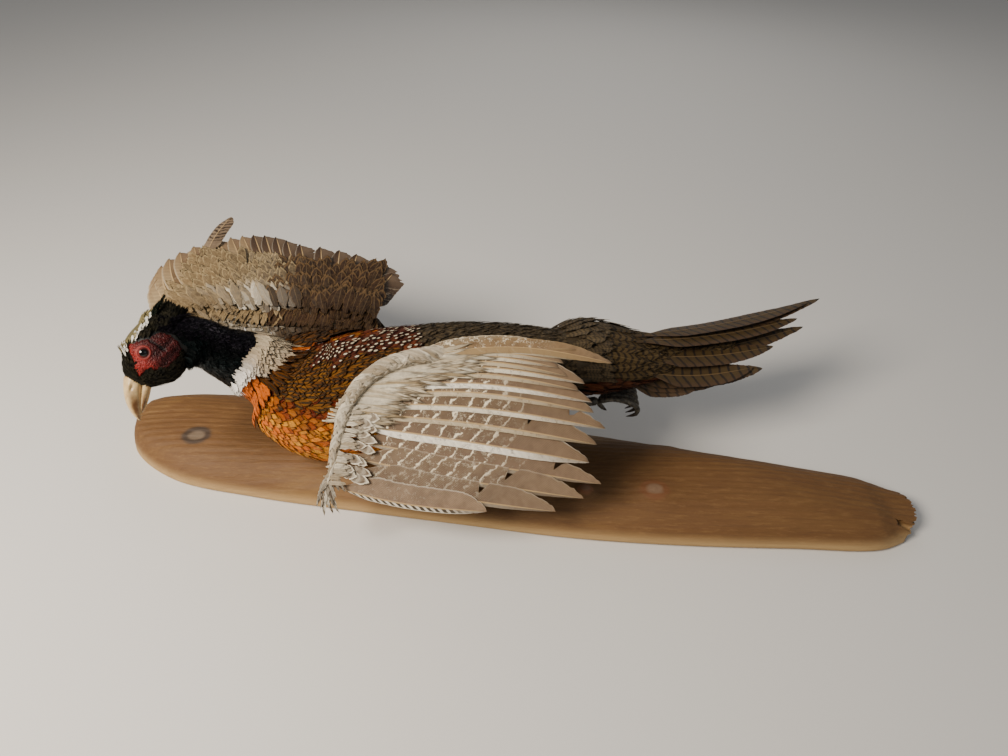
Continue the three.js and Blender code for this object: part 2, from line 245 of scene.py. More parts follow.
TRUNK = Loft(
    path((-238, -12, 122), (-224, -13, 118), (-204, -17, 107), (-173, -16, 98), (-136, -4, 99),
         (-92, 10, 101), (-44, 22, 105), (8, 32, 108), (60, 40, 110), (112, 47, 111)),
    UPRIGHT, graded(22, 34, 50, 59, 60, 57, 52, 43, 30, 14),
    graded(22, 34, 50, 59, 60, 56, 50, 41, 27, 12), depth=5)
NECK = Loft(
    path((-204, -14, 112), (-238, -13, 136), (-258, -20, 154), head_point(-11, -38),
         head_point(-9, -18), head_point(-5, -4)),
    UPRIGHT, graded(31, 29, 23, 20, 19, 17), graded(32, 30, 24, 21.5, 21, 17), depth=3.2)
HEAD = Loft(
    path(*(head_point(f, u) for f, u in
           ((-31, -8), (-16, -6.5), (0, -6), (16, -4.5), (29, -1), (38, 1)))),
    HEAD_UP, graded(10, 15, 18.5, 19, 15, 9), graded(10, 18.5, 25, 25.5, 17, 10), depth=1.3)
COVERTS = Loft(
    path((16, 38, 106), (70, 48, 110), (126, 55, 107), (176, 69, 108)),
    UPRIGHT, graded(32, 44, 34, 15), graded(32, 36, 21, 9), depth=4.5)


SHOULDER = Loft(
    path((-226, 12, 134), (-198, 15, 138), (-172, 20, 139), (-142, 27, 139)),
    UPRIGHT, graded(12, 15, 15, 11), graded(6, 8.5, 8.5, 6), depth=2)


def thigh(side):
    y = 17 + 20 * side
    thick = graded(15, 18, 14, 7)
    line = path((-66, y - 6, 70), (-32, y, 66), (4, y + 6, 66), (34, y + 8, 68))
    return Loft(line, UPRIGHT, thick, thick, depth=3.5)


THIGHS = {"left": thigh(-1), "right": thigh(1)}

LEFT_SHEET = Sheet((-162, -97, 79), (1, 0, 0), (0, 0.5708, 0.8211), 1, (95, 45), (4, 7))
RIGHT_SHEET = Sheet((-130, 45, 150), (-1, 0, 0), (0, 0.9986, 0.0523), -1, (110, 55), (5, 9))


def arm(sheet, places, wide, high):
    line = path(*places)

    def spine(share):
        spot = line(share)
        return sheet.at(spot[..., 0], spot[..., 1], spot[..., 2])

    return Loft(spine, sheet.out, graded(*wide), graded(*high), depth=3)


LEFT_ARM = arm(LEFT_SHEET, ((2, -4, 3), (9, 35, 4), (19, 70, 5), (34, 90, 5), (56, 104, 4),
                            (84, 111, 2), (108, 110, -12), (112, 100, -44)),
               (5, 6.5, 8, 8.5, 9, 9.5, 11, 13), (4.5, 5.5, 6.5, 7, 7.5, 8, 9, 11))
RIGHT_ARM = arm(RIGHT_SHEET, ((182, 12, 3), (152, -2, 4), (118, -8, 5), (84, -8, 5),
                              (52, -4, 3), (20, 4, -2), (0, 2, -26)),
                (8, 11, 13, 14, 14, 13, 11), (5, 6, 7, 8, 9, 10, 10))


# ======================================================================
# Materials
# ======================================================================
BARB_HEIGHT = 0.0004
QUILL_BARB_HEIGHT = 0.0005
WOOD_GRAIN_HEIGHT = 0.0011


class Signal:
    """A node's output that takes part in Python expressions."""

    def __init__(self, tree, socket):
        self.tree, self.socket = tree, socket

    def maths(self, operation, *values):
        return self.tree.node("ShaderNodeMath", {"operation": operation},
                              dict(enumerate(values))).out()

    def __add__(self, other):
        return self.maths("ADD", self, other)

    def __sub__(self, other):
        return self.maths("SUBTRACT", self, other)

    def __rsub__(self, other):
        return self.maths("SUBTRACT", other, self)

    def __mul__(self, other):
        return self.maths("MULTIPLY", self, other)

    def __truediv__(self, other):
        return self.maths("DIVIDE", self, other)

    def __pow__(self, other):
        return self.maths("POWER", self, other)

    def __abs__(self):
        return self.maths("ABSOLUTE", self)

    __radd__ = __add__
    __rmul__ = __mul__

    def wave(self):
        return self.maths("SINE", self)

    def rise(self, low, high):
        """A soft step between two levels."""
        return self.tree.node("ShaderNodeMapRange", {"interpolation_type": "SMOOTHSTEP"},
                              {0: self, 1: low, 2: high, 3: 0.0, 4: 1.0}).out()


class Node:
    """A node, with its outputs as signals."""

    def __init__(self, tree, node):
        self.tree, self.node = tree, node

    def out(self, name=0):
        return Signal(self.tree, self.node.outputs[name])


class Tree:
    """A tree of nodes under construction."""

    def __init__(self, own):
        self.own = own

    def node(self, kind, settings=None, inputs=None):
        node = self.own.nodes.new(kind)
        for name, value in (settings or {}).items():
            setattr(node, name, value)
        for name, value in (inputs or {}).items():
            self.feed(node.inputs[name], value)
        return Node(self, node)

    def feed(self, socket, value):
        """Links a signal to a socket or sets its value. A colour is given by its code or parts."""
        if isinstance(value, Signal):
            self.own.links.new(value.socket, socket)
            return
        if isinstance(value, str):
            value = rgb(value)
        if socket.type == "RGBA":
            value = (*value, 1.0)
        socket.default_value = value


class Paint(Tree):
    """A material under construction."""

    def __init__(self, name, **shader_values):
        self.material = bpy.data.materials.new(name)
        self.material.use_nodes = True
        super().__init__(self.material.node_tree)
        self.shader = self.own.nodes["Principled BSDF"]
        for socket, value in shader_values.items():
            self.set(socket.replace("_", " ").title().replace("Ior", "IOR"), value)

    def set(self, socket, value):
        self.feed(self.shader.inputs[socket], value)

    def attribute(self, name, out="Color"):
        return self.node("ShaderNodeAttribute", {"attribute_name": name}).out(out)

    def number(self, name):
        return self.attribute(name, "Fac")

    def place(self):
        return self.node("ShaderNodeTexCoord").out("Object")

    def axes(self, vector):
        split = self.node("ShaderNodeSeparateXYZ", None, {0: vector})
        return [split.out(axis) for axis in "XYZ"]

    def vane(self):
        """How far across and along its vane each point of a feather is."""
        return self.axes(self.node("ShaderNodeUVMap", {"uv_map": "Vane"}).out())[:2]

    def marks(self):
        """The weights of the four markings that each feather carries."""
        split = self.node("ShaderNodeSeparateColor", None, {0: self.attribute("Marks")})
        return ([split.out(channel) for channel in ("Red", "Green", "Blue")]
                + [self.attribute("Marks", "Alpha")])

    def stretch(self, scale):
        return self.node("ShaderNodeMapping", None,
                         {"Vector": self.place(), "Scale": scale}).out()

    def noise(self, scale, vector=None, detail=3.0, roughness=0.55, distortion=0.0):
        return self.node("ShaderNodeTexNoise", None,
                         {"Vector": vector or self.place(), "Scale": scale, "Detail": detail,
                          "Roughness": roughness, "Distortion": distortion}).out("Fac")

    def mix(self, share, low, high):
        node = self.node("ShaderNodeMix", {"data_type": "RGBA"}, {0: share, 6: low, 7: high})
        return node.out(2)

    def layers(self, ground, *coats):
        """Lays colours over a ground, each by its own share."""
        for share, colour in coats:
            ground = self.mix(share, ground, colour)
        return ground

    def bump(self, height, distance, strength):
        self.set("Normal", self.node("ShaderNodeBump", None, {
            "Height": height, "Distance": distance, "Strength": strength}).out())


def rgb(code):
    """A linear colour from a six-figure code."""
    parts = (int(code[i:i + 2], 16) / 255 for i in (0, 2, 4))
    return tuple(c / 12.92 if c <= 0.04045 else ((c + 0.055) / 1.055) ** 2.4 for c in parts)


def tone(code):
    """A linear colour that takes part in sums."""
    return np.array(rgb(code))


def rgbs(*codes):
    return [rgb(code) for code in codes]


def vane_paint(name, roughness, metallic=0.0, barb_count=46.0, bar_count=5.0,
               shaft_tone="b89a6c", gloss=0.22):
    """Feathers that carry their own colours: a ground, an ink and the weights of four markings."""
    paint = Paint(name, roughness=roughness, metallic=metallic, specular_ior_level=gloss)
    u, v = paint.vane()
    aside = abs(u * 2 - 1)
    edge, streak, dot, bars = paint.marks()
    ink, luck = paint.attribute("Ink"), paint.number("Luck")
    tip = v.rise(0.35, 1.0)
    rim = (aside * aside + tip * tip * 1.05).rise(0.68, 1.0)
    cloud = paint.noise(260.0)
    shaft = 1 - aside.rise(0.02, 0.09)
    middle = (1 - (aside + (cloud - 0.5) * 0.3).rise(0.16, 0.4)) * v.rise(0.1, 0.5)
    off = (aside * aside * 10 + (v - 0.8) * (v - 0.8) * 70) * (1 + luck * 1.1)
    drop, ring = 1 - off.rise(0.5, 1.0), 1 - off.rise(1.3, 2.4)
    band = (v * bar_count * TURN + aside * 1.3 + luck * TURN + cloud * 1.6).wave().rise(0.1, 0.6)
    paint.set("Base Color", paint.layers(
        paint.attribute("Tint"), ((cloud - 0.3) * 0.7, ink), (bars * band, ink),
        (streak * middle, ink), (edge * rim, ink), (dot * ring * 0.8, ink),
        (dot * drop, "e0d2b4"), (shaft * 0.16, shaft_tone)))
    barbs = ((v - aside * 0.45) * barb_count * TURN).wave()
    paint.bump(barbs * 0.5 + shaft * 1.2 + cloud * 0.6, BARB_HEIGHT, 0.7)
    return paint.material


# ======================================================================
# Meshes
# ======================================================================
def make_object(name, mesh):
    piece = bpy.data.objects.new(name, mesh)
    bpy.context.scene.collection.objects.link(piece)
    return piece


def build_mesh(name, points, faces, material=None, uvs=None, colours=None, values=None):
    """A smooth mesh from points in millimetres and faces of three or four corners."""
    mesh = bpy.data.meshes.new(name)
    faces = np.asarray(faces)
    mesh.vertices.add(len(points))
    mesh.vertices.foreach_set("co", (np.asarray(points) * MM).astype(np.float32).ravel())
    mesh.loops.add(faces.size)
    mesh.loops.foreach_set("vertex_index", faces.ravel().astype(np.int32))
    mesh.polygons.add(len(faces))
    starts = np.arange(0, faces.size, faces.shape[1], dtype=np.int32)
    mesh.polygons.foreach_set("loop_start", starts)
    mesh.update(calc_edges=True)
    mesh.polygons.foreach_set("use_smooth", np.ones(len(faces), dtype=bool))
    for layer, spots in (uvs or {}).items():
        uv = mesh.uv_layers.new(name=layer)
        uv.data.foreach_set("uv", spots[faces.ravel()].astype(np.float32).ravel())
    for layer, colour in (colours or {}).items():
        if colour.shape[1] == 3:
            colour = np.hstack([colour, np.ones((len(colour), 1))])
        data = mesh.attributes.new(layer, "FLOAT_COLOR", "POINT").data
        data.foreach_set("color", colour.astype(np.float32).ravel())
    for layer, value in (values or {}).items():
        data = mesh.attributes.new(layer, "FLOAT", "POINT").data
        data.foreach_set("value", value.astype(np.float32).ravel())
    mesh.validate()
    if material:
        mesh.materials.append(material)
    return mesh


def grid_faces(rows, columns, copies=1, flip=False, closed=False):
    """Faces of grids of points, rows by columns of cells. A closed one joins its last column."""
    wide = columns if closed else columns + 1
    i, j = np.meshgrid(np.arange(rows), np.arange(columns), indexing="ij")
    after = (j + 1) % wide
    faces = np.stack([i * wide + j, (i + 1) * wide + j, (i + 1) * wide + after, i * wide + after],
                     axis=-1).reshape(-1, 4)
    if flip:
        faces = faces[:, ::-1]
    step = (rows + 1) * wide
    return (faces[None] + (np.arange(copies) * step)[:, None, None]).reshape(-1, 4)


def capped(points, rows, columns, ends=None):
    """A tube of rings with a fan over each end, round a given point or the ring's middle."""
    rings = np.arange(columns) + np.array([[0], [rows * columns]])
    if ends is None:
        ends = points[rings].mean(axis=1)
    faces = grid_faces(rows, columns, closed=True)
    triangles = [faces[:, [0, 1, 2]], faces[:, [0, 2, 3]]]
    for end, order in enumerate(((0, 2, 1), (0, 1, 2))):
        fan = np.stack([np.full(columns, len(points) + end), rings[end], np.roll(rings[end], -1)],
                       axis=1)
        triangles.append(fan[:, order])
    return np.vstack([points, ends]), np.vstack(triangles)


def closed_loft(form, grow, rows=60, columns=40):
    """A form's whole surface, grown by a distance, with its ends closed."""
    t = np.linspace(0, 1, rows + 1)[:, None]
    turn = (np.arange(columns) / columns * TURN)[None]
    t, turn = np.broadcast_arrays(t, turn)
    points = form.at(t, turn, grow, domed=True).reshape(-1, 3)
    return capped(points, rows, columns, form.spine(np.array([0.0, 1.0])))


def joined(parts):
    """The points and faces of several shapes as one."""
    starts = np.cumsum([0] + [len(points) for points, _ in parts])
    return (np.vstack([points for points, _ in parts]),
            np.vstack([faces + start for (_, faces), start in zip(parts, starts)]))


def settle(piece):
    """Turns a piece with modifiers into a plain mesh."""
    graph = bpy.context.evaluated_depsgraph_get()
    mesh = bpy.data.meshes.new_from_object(piece.evaluated_get(graph))
    piece.modifiers.clear()
    old, piece.data = piece.data, mesh
    bpy.data.meshes.remove(old)
    mesh.name = piece.name


def outward(mesh):
    """Turns a closed mesh the right way out."""
    count = len(mesh.polygons)
    centres, normals, areas = np.empty(count * 3), np.empty(count * 3), np.empty(count)
    mesh.polygons.foreach_get("center", centres)
    mesh.polygons.foreach_get("normal", normals)
    mesh.polygons.foreach_get("area", areas)
    if (centres * normals * np.repeat(areas, 3)).sum() < 0:
        mesh.flip_normals()


def finish_piece(piece, replaced=()):
    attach(piece, BODY)
    if replaced:
        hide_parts(*replaced)


# ======================================================================
# Feathers
# ======================================================================
PATCH = 0.003
STAGGER = 0.3


def scatter(surface, share, gap, seed):
    """Roots in offset rows round part of a surface, as two lists of coordinates."""
    rng = np.random.default_rng(seed)
    reach = surface.scale(np.array([share[0]]), np.array([0.0]))[0][0]
    along, across = [], []
    rows = max(int((share[1] - share[0]) * reach / gap), 1)
    for row in range(rows):
        p = mix(share[0], share[1], (row + 0.5) / rows)
        middles = np.linspace(-math.pi, math.pi, 9)
        wide = surface.scale(np.full(9, p), middles)[1].mean() * TURN
        count = max(int(wide / gap), 1)
        spots = (np.arange(count) + 0.5 * (row % 2) + 0.25) / count
        along.append(np.full(count, p) + rng.normal(0, STAGGER * gap / reach / 2, count))
        across.append(mix(-math.pi, math.pi, spots)
                      + rng.normal(0, STAGGER * gap / wide * TURN / 2, count))
    return np.concatenate(along), np.concatenate(across)


def apart(p, q, surface, *others):
    """Which roots lie outside every other form."""
    keep = np.ones(len(p), dtype=bool)
    points = surface.at(p, q, -surface.depth * 0.6)
    for other in others:
        t, _, out = other.locate(points)
        keep &= (out > 0.97) | (t < 0.01) | (t > 0.99)
    return keep


def roots(form, share, gap, seed, *others):
    """Roots round part of a form, apart from those that lie in another form."""
    p, q = scatter(form, share, gap, seed)
    keep = apart(p, q, form, *others)
    return p[keep], q[keep]


class Coat:
    """How one tract of feathers looks: two grounds, an ink, four marking weights and its sizes.

    The weights are of a dark edge, a middle streak, a pale dot and cross-bars.
    """

    def __init__(self, grounds, ink, marks, length, width, rise=4.0, cup=0.06, fray=0.25):
        self.grounds, self.ink, self.marks = np.array(rgbs(*grounds)), tone(ink), marks
        self.length, self.width, self.rise, self.cup, self.fray = length, width, rise, cup, fray


def lay(name, surface, p, q, heading, coat, material, seed, base=-4.0, size=1.0,
        tint=None, marks=None, rows=8, columns=6, clear=(), margin=0.5, rise=None):
    """One piece of overlapping feathers that follow a surface from their roots p, q."""
    rng = np.random.default_rng(seed)
    n = len(p)
    v = np.linspace(0, 1, rows + 1)[None, :, None]
    u = np.linspace(-1, 1, columns + 1)[None, None, :]
    each = lambda values: np.broadcast_to(values, (n,))[:, None, None]
    vary = lambda spread: 1 + rng.uniform(-spread, spread, (n, 1, 1))
    length = coat.length * each(size) * vary(0.12)
    half = 0.5 * coat.width * each(size) * vary(0.1)
    outline = mix(0.34, 1, ease(0, 0.5, v)) * np.sqrt(1 - np.clip((v - 0.6) / 0.4, 0, 1) ** 2.4)
    torn = 1 - coat.fray * rng.uniform(0, 1, (n, rows + 1, columns + 1)) * np.abs(u) ** 4
    across = u * half * outline * torn
    ragged = coat.fray * rng.uniform(-0.16, 0.1, (n, 1, columns + 1)) * v ** 3
    along = length * (v - 0.1 * u * u * v + ragged)
    turn = each(heading + rng.normal(0, 0.1, n))
    reach, around = surface.scale(p, q)
    spot_p = each(p) + (along * np.cos(turn) - across * np.sin(turn)) / each(reach)
    spot_q = each(q) + (along * np.sin(turn) + across * np.cos(turn)) / each(around)
    top = coat.rise if rise is None else each(rise)
    lift = each(base) + rng.uniform(-0.3, 0.3, (n, 1, 1)) + top * v ** 1.2
    lift = lift - coat.cup * half * u * u * v
    points = surface.at(spot_p, spot_q, lift).reshape(-1, 3)
    for form in clear:
        points = form.clear(points, margin)
    per = (rows + 1) * (columns + 1)
    if tint is None:
        tint = mix(*coat.grounds, rng.uniform(0, 1, (n, 1)))
    tint = tint * rng.uniform(0.86, 1.14, (n, 1))
    marks = np.broadcast_to(coat.marks if marks is None else marks, (n, 4))
    patch = np.stack(np.broadcast_arrays(u * PATCH / 2, v * PATCH), axis=-1).reshape(1, per, 2)
    spots = surface.bake_spot(p, q) * 0.98 + 0.01
    vane = np.stack(np.broadcast_arrays((u + 1) / 2, v, each(0))[:2], axis=-1)
    repeated = lambda values: np.repeat(values, per, axis=0)
    mesh = build_mesh(
        name, points, grid_faces(rows, columns, n, flip=getattr(surface, "outward", 1) < 0),
        material,
        uvs={"Vane": vane.reshape(-1, 2), "OFBake": (spots[:, None] + patch).reshape(-1, 2)},
        colours={"Tint": repeated(tint), "Marks": repeated(marks),
                 "Ink": repeated(np.broadcast_to(coat.ink, (n, 3)))},
        values={"Luck": repeated(rng.uniform(0, 1, n))})
    finish_piece(make_object(name, mesh))


BREAST = Coat(("f47a14", "ffb030"), "5a200a", (0.62, 0.06, 0, 0), 16.5, 8.8, rise=2.3)
MANTLE = Coat(("6a3d0e", "98631f"), "120a05", (0.5, 0.95, 0, 0), 17.5, 7.2, rise=3.0)
SCAPULAR = Coat(("4c1d10", "7c3c1c"), "170a07", (0.45, 0.1, 1, 0), 20, 9, rise=3.4)
RUMP = Coat(("4c3e2b", "5e4f37"), "231e17", (0.15, 0.1, 0, 0.6), 23, 10, rise=3.4, fray=0.5)
FLANK = Coat(("7c4216", "a0601f"), "160c07", (0.9, 0.2, 0, 0), 25, 12, rise=3.6)
BELLY = Coat(("24170f", "322215"), "0d0906", (0.2, 0, 0, 0), 23, 11, rise=3.6, fray=0.6)
VENT = Coat(("4a2009", "5e2d0e"), "160a04", (0.5, 0, 0, 0), 26, 11, rise=4.0, fray=0.5)
NECK_PLUSH = Coat(("07090b", "0a0e0e"), "030405", (0.3, 0, 0, 0), 12, 5.6, rise=1.7, fray=0.3)
COLLAR = Coat(("cbb999", "a8947a"), "8a7862", (0.05, 0.15, 0, 0), 27, 16, rise=3.6, fray=0.5)
CROWN = Coat(("857a55", "96895f"), "544c36", (0.1, 0.1, 0, 0), 6.5, 2.8, rise=1.6, fray=0.4)
TAIL_TOP = Coat(("4e3d20", "5f4b2b"), "170f08", (0.15, 0.05, 0, 0.85), 52, 15, rise=4.0, fray=0.4)


class Tract:
    """Part of a body's form: where it starts and how far it reaches, in shares and degrees."""

    TWIST = -20

    def __init__(self, name, coat, start, end, top, bottom, side=0):
        self.name, self.coat, self.start, self.end = name, coat, start, end
        self.top, self.bottom, self.side = top, bottom, side

    def apart(self, turn):
        """Degrees round from the middle of the back."""
        return np.abs((np.degrees(turn) - self.TWIST + 180) % 360 - 180)

    def holds(self, t, turn):
        degrees = self.apart(turn)
        facing = np.sin(turn - math.radians(self.TWIST)) * self.side >= 0
        return (facing & (t >= self.start) & (t < self.end) & (degrees >= self.top)
                & (degrees < self.bottom))


TRACTS = (
    Tract("breast", BREAST, -0.1, 0.44, 34, 181),
    Tract("mantle", MANTLE, -0.1, 0.22, 0, 34),
    Tract("back_near", MANTLE, 0.22, 0.5, 0, 34, -1),
    Tract("back_far", MANTLE, 0.22, 0.5, 0, 8, 1),
    Tract("scapulars", SCAPULAR, 0.22, 0.53, 8, 34, 1),
    Tract("lower_back_near", SCAPULAR, 0.5, 0.53, 0, 34, -1),
    Tract("lower_back_far", SCAPULAR, 0.5, 0.53, 0, 8, 1),
    Tract("rump", RUMP, 0.53, 1.1, 0, 80),
    Tract("flank_edge", SCAPULAR, 0.44, 0.53, 34, 80),
    Tract("flanks", FLANK, 0.44, 1.1, 80, 122),
    Tract("belly", BELLY, 0.44, 1.1, 122, 181),
)


# ======================================================================
# Settings
# ======================================================================
def length_setting(label, note, default):
    return bpy.props.FloatProperty(name=label, description=note, default=default, unit="LENGTH",
                                   min=0.0)


def colour_setting(label, note, code):
    return bpy.props.FloatVectorProperty(name=label, description=note, subtype="COLOR", size=3,
                                         min=0.0, max=1.0, default=rgb(code))


class PheasantPlumage(bpy.types.PropertyGroup):
    """Sizes of the coat."""

    body_gap: length_setting("Body gap", "Distance between the roots of body feathers", 0.0052)
    neck_gap: length_setting("Neck gap", "Distance between the roots of neck feathers", 0.0032)
    head_gap: length_setting("Head gap", "Distance between the roots of head feathers", 0.0021)
    skin_grain: length_setting("Skin grain", "Size of the skin's cells", 0.0022)
    grain_gap: length_setting("Face grain gap", "Distance between the bare face's grains", 0.00125)
    grain_size: length_setting("Face grain size", "Radius of the bare face's grains", 0.00042)


class PheasantMount(bpy.types.PropertyGroup):
    """Colours of the slab and the floor, and the power of the main light."""

    wood_tone: colour_setting("Wood", "Ground colour of the driftwood", "66441f")
    floor_tone: colour_setting("Floor", "Colour of the plain floor", "d9d6d1")
    key_power: bpy.props.FloatProperty(name="Key light", description="Power of the main light",
                                       default=27.0, min=0.0)


# ======================================================================
# Driftwood
# ======================================================================
WOOD_LENGTH = 800
WOOD_CROWN = 35
WOOD_RIM = 7
NEAR_EDGE = path(*((share * WOOD_LENGTH, y) for share, y in (
    (-0.5, 32), (-0.482, -2), (-0.42, -37), (-0.31, -56), (-0.18, -69), (-0.06, -80), (0.07, -91),
    (0.2, -95), (0.33, -94), (0.43, -92), (0.468, -80))))
FAR_EDGE = path(*((share * WOOD_LENGTH, y) for share, y in (
    (-0.5, 52), (-0.485, 66), (-0.42, 77), (-0.31, 76), (-0.18, 67), (-0.06, 59), (0.07, 42),
    (0.2, 22), (0.33, 4), (0.43, -9), (0.474, -24))))
WOOD_HEIGHT = graded(0.4, 0.85, 1, 1, 1, 1, 0.97, 0.8, 0.5)


def wood_top(along, across):
    dome = (1 - np.abs(2 * across - 1) ** 3) ** 0.7
    ripple = 1.1 * np.sin(along * 23 + across * 4) + 0.8 * np.sin(along * 9 - across * 7)
    return mix(WOOD_RIM, WOOD_CROWN, dome) * WOOD_HEIGHT(along) + ripple * dome


# Each knot's place, the reach and height of its bump, the reach and depth of its stain, and colour
WOOD_KNOTS = ((-317, -4, 9, -1.6, 12.5, 0.95, "3a2c20"), (134, -55, 20, 3.0, 12, 0.75, "6b4020"),
              (68, -60, 9, 6.5, 6, 0.55, "8d5a3c"), (162, 24, 16, 3.2, 12, 0.5, "6b4424"))
WOOD_DENTS = ((-60, -10, 40, -1.5), (250, -50, 50, 1.2))


def wood_bumps(x, y):
    """Dents, knots and the raised grain of the slab's top, in millimetres."""
    rise = 0.28 * np.sin(y * 0.9 + 2.2 * np.sin(x * 0.021) + 1.3 * np.sin(x * 0.008 + y * 0.05))
    for at_x, at_y, reach, height in (*(knot[:4] for knot in WOOD_KNOTS), *WOOD_DENTS):
        rise = rise + height * np.exp(-((x - at_x) ** 2 + 1.6 * (y - at_y) ** 2) / reach ** 2)
    at_x, at_y = WOOD_KNOTS[1][:2]
    swirl = np.hypot(x - at_x, 1.3 * (y - at_y))
    return rise + 0.35 * np.sin(swirl * 1.1) * np.exp(-(swirl / 26) ** 2)


def wood_paint(ground):
    paint = Paint("Weathered driftwood", roughness=0.66)
    x, y, z = paint.axes(paint.place())
    warp = paint.noise(9.0, paint.stretch((1.0, 3.0, 3.0)), 2.0)
    grain = paint.noise(60.0, paint.stretch((0.06, 1.6, 1.0)), 6.0, 0.65, 0.5)
    fine = paint.noise(420.0, paint.stretch((0.03, 1.0, 1.0)), 4.0, 0.7)
    blotch = paint.noise(16.0, paint.stretch((0.5, 1.0, 1.0)), 6.0, 0.7, 0.4)
    speck = paint.noise(300.0, paint.stretch((0.18, 1.0, 1.0)), 5.0, 0.75)
    streak = ((y * 420 + warp * 26 + grain * 5).wave() * 0.5 + 0.5) * 0.12 + grain * 0.88
    worn_edge = (1 - z.rise(0.005, 0.017)) * (0.3 + fine * 0.55)
    colour = paint.layers(
        ground, (streak.rise(0.25, 0.75) * 0.3, "78592b"),
        (blotch.rise(0.44, 0.68) * 0.6, "62411d"), ((1 - blotch).rise(0.5, 0.72) * 0.55, "886734"),
        (fine.rise(0.45, 0.75) * 0.5, "55371a"), (speck.rise(0.5, 0.68) * 0.22, "977244"),
        ((1 - speck).rise(0.56, 0.74) * 0.45, "472e15"), (worn_edge, "c9a772"))
    for at_x, at_y, _, _, across, deep, stain in WOOD_KNOTS:
        aside, beside, across = x - at_x * MM, y - at_y * MM, across * MM
        wavy = (aside * aside * 0.55 + beside * beside) ** 0.5 + (grain - 0.5) * 0.008
        ring = 1 - wavy.rise(across * 0.7, across * 1.05)
        heart = 1 - wavy.rise(across * 0.3, across * 0.62)
        colour = paint.layers(colour, (ring * deep, stain), (heart * deep * 0.7, "7d6a55"))
    paint.set("Base Color", colour)
    paint.set("Roughness", grain * 0.25 + 0.55)
    paint.bump(grain * 0.8 + fine * 0.6 + speck * 0.7 + blotch, WOOD_GRAIN_HEIGHT, 0.7)
    return paint.material


def cutter(name, centre, size, turn):
    """A rough wedge that cuts a broken place out of the wood."""
    rng = np.random.default_rng(4)
    rows, columns = 16, 12
    t = np.linspace(0, 1, rows + 1)[:, None]
    around = np.arange(columns)[None] / columns * TURN
    radius = np.sin(np.pi * t.clip(0.02, 0.98)) ** 0.4 * rng.uniform(0.8, 1.15, (rows + 1, columns))
    x = np.broadcast_to((t - 0.5) * 2 * size[0], radius.shape)
    y, z = radius * size[1] * np.cos(around), radius * size[2] * np.sin(around)
    points = np.stack([x * math.cos(turn) - y * math.sin(turn),
                       x * math.sin(turn) + y * math.cos(turn), z], axis=-1).reshape(-1, 3) + centre
    return make_object(name, build_mesh(name, *capped(points, rows, columns)))


def slab_shape():
    """The slab's rings, each run up its near side, over its top, down its far side and under it."""
    rows, top_cells, side_cells, under_cells = 420, 70, 6, 12
    top = np.linspace(0, 1, top_cells + 1)
    up = np.linspace(0, 1, side_cells + 1)[:-1]
    under = np.linspace(1, 0, under_cells + 1)[1:-1]
    across = np.concatenate([0 * up, top, 0 * up + 1, under])[None]
    level = np.concatenate([up, 0 * top + 1, up[::-1], 0 * under])[None]
    along = np.linspace(0, 1, rows + 1)[:, None]
    near, far = NEAR_EDGE(along[:, 0]), FAR_EDGE(along[:, 0])
    edge = near[:, None] + (far - near)[:, None] * across[..., None]
    width = np.linalg.norm(far - near, axis=1)[:, None]
    swell = 0.8 * np.sin(np.pi * level)
    tuck = 2.5 * (1 - level) ** 2
    inward = np.where(across < 0.5, 1, -1) * (np.abs(across - 0.5) > 0.499)
    broken = 2.2 * np.sin(across * 31 + 1) + 1.4 * np.sin(across * 67)
    x = edge[..., 0] + (1 - (2 * across - 1) ** 2) * 12 * ease(0.94, 1, along)
    x = x - np.abs(broken) * ease(0.985, 1, along)
    y = edge[..., 1] + inward * (tuck - swell) * np.minimum(1, width / 60)
    height = wood_top(along, across) + wood_bumps(x, y) * ease(0, 0.06, across * (1 - across) * 4)
    points = np.stack([x, y, np.maximum(height * level, 0)], axis=-1)
    return capped(points.reshape(-1, 3), rows, points.shape[1])


class PHEASANT_OT_driftwood(bpy.types.Operator):
    """Carve the slab of driftwood that the bird lies along"""

    bl_idname = "pheasant.driftwood"
    bl_label = "Driftwood"

    def execute(self, context):
        paint = wood_paint(tuple(context.scene.pheasant_mount.wood_tone))
        slab = make_object("driftwood_slab", build_mesh("driftwood_slab", *slab_shape(), paint))
        outward(slab.data)
        cuts = [cutter("slot", (371, -72, 15), (26, 3.8, 4.6), -0.29),
                cutter("notch", (391, -35, 26), (12, 6, 12), 0.2)]
        for cut in cuts:
            outward(cut.data)
            carve = slab.modifiers.new("Carve", "BOOLEAN")
            carve.object, carve.operation, carve.solver = cut, "DIFFERENCE", "EXACT"
        settle(slab)
        for cut in cuts:
            bpy.data.objects.remove(cut)
        finish_piece(slab, ("driftwood",))
        return {"FINISHED"}


# ======================================================================
# Skin
# ======================================================================
FLESH = (TRUNK, NECK, HEAD, COVERTS, THIGHS["left"], THIGHS["right"], LEFT_ARM, RIGHT_ARM)
FLESH_NODES = ("trunk", "neck", "head", "tail_coverts", "leg_left", "leg_right", "wing_left_arm",
               "wing_right_arm")

WATTLE_STEP = 0.36
WATTLE_INK = 0.45
EYE = (10.7, 2.9, 14.2)
EYE_RADIUS = 5.4
LID_RADIUS = 4.3
WATTLE = np.array([(6.4, 17.6), (13.8, 14.7), (25, 7.1), (33.9, 1.5), (31.8, -2.1), (24.5, -2.6),
                   (23.5, -12.1), (18.5, -20.1), (7.2, -26.6), (-1, -25.4), (-7.5, -18.7),
                   (-11.9, -5.2), (-6.2, -0.1), (-0.3, 5.7)])


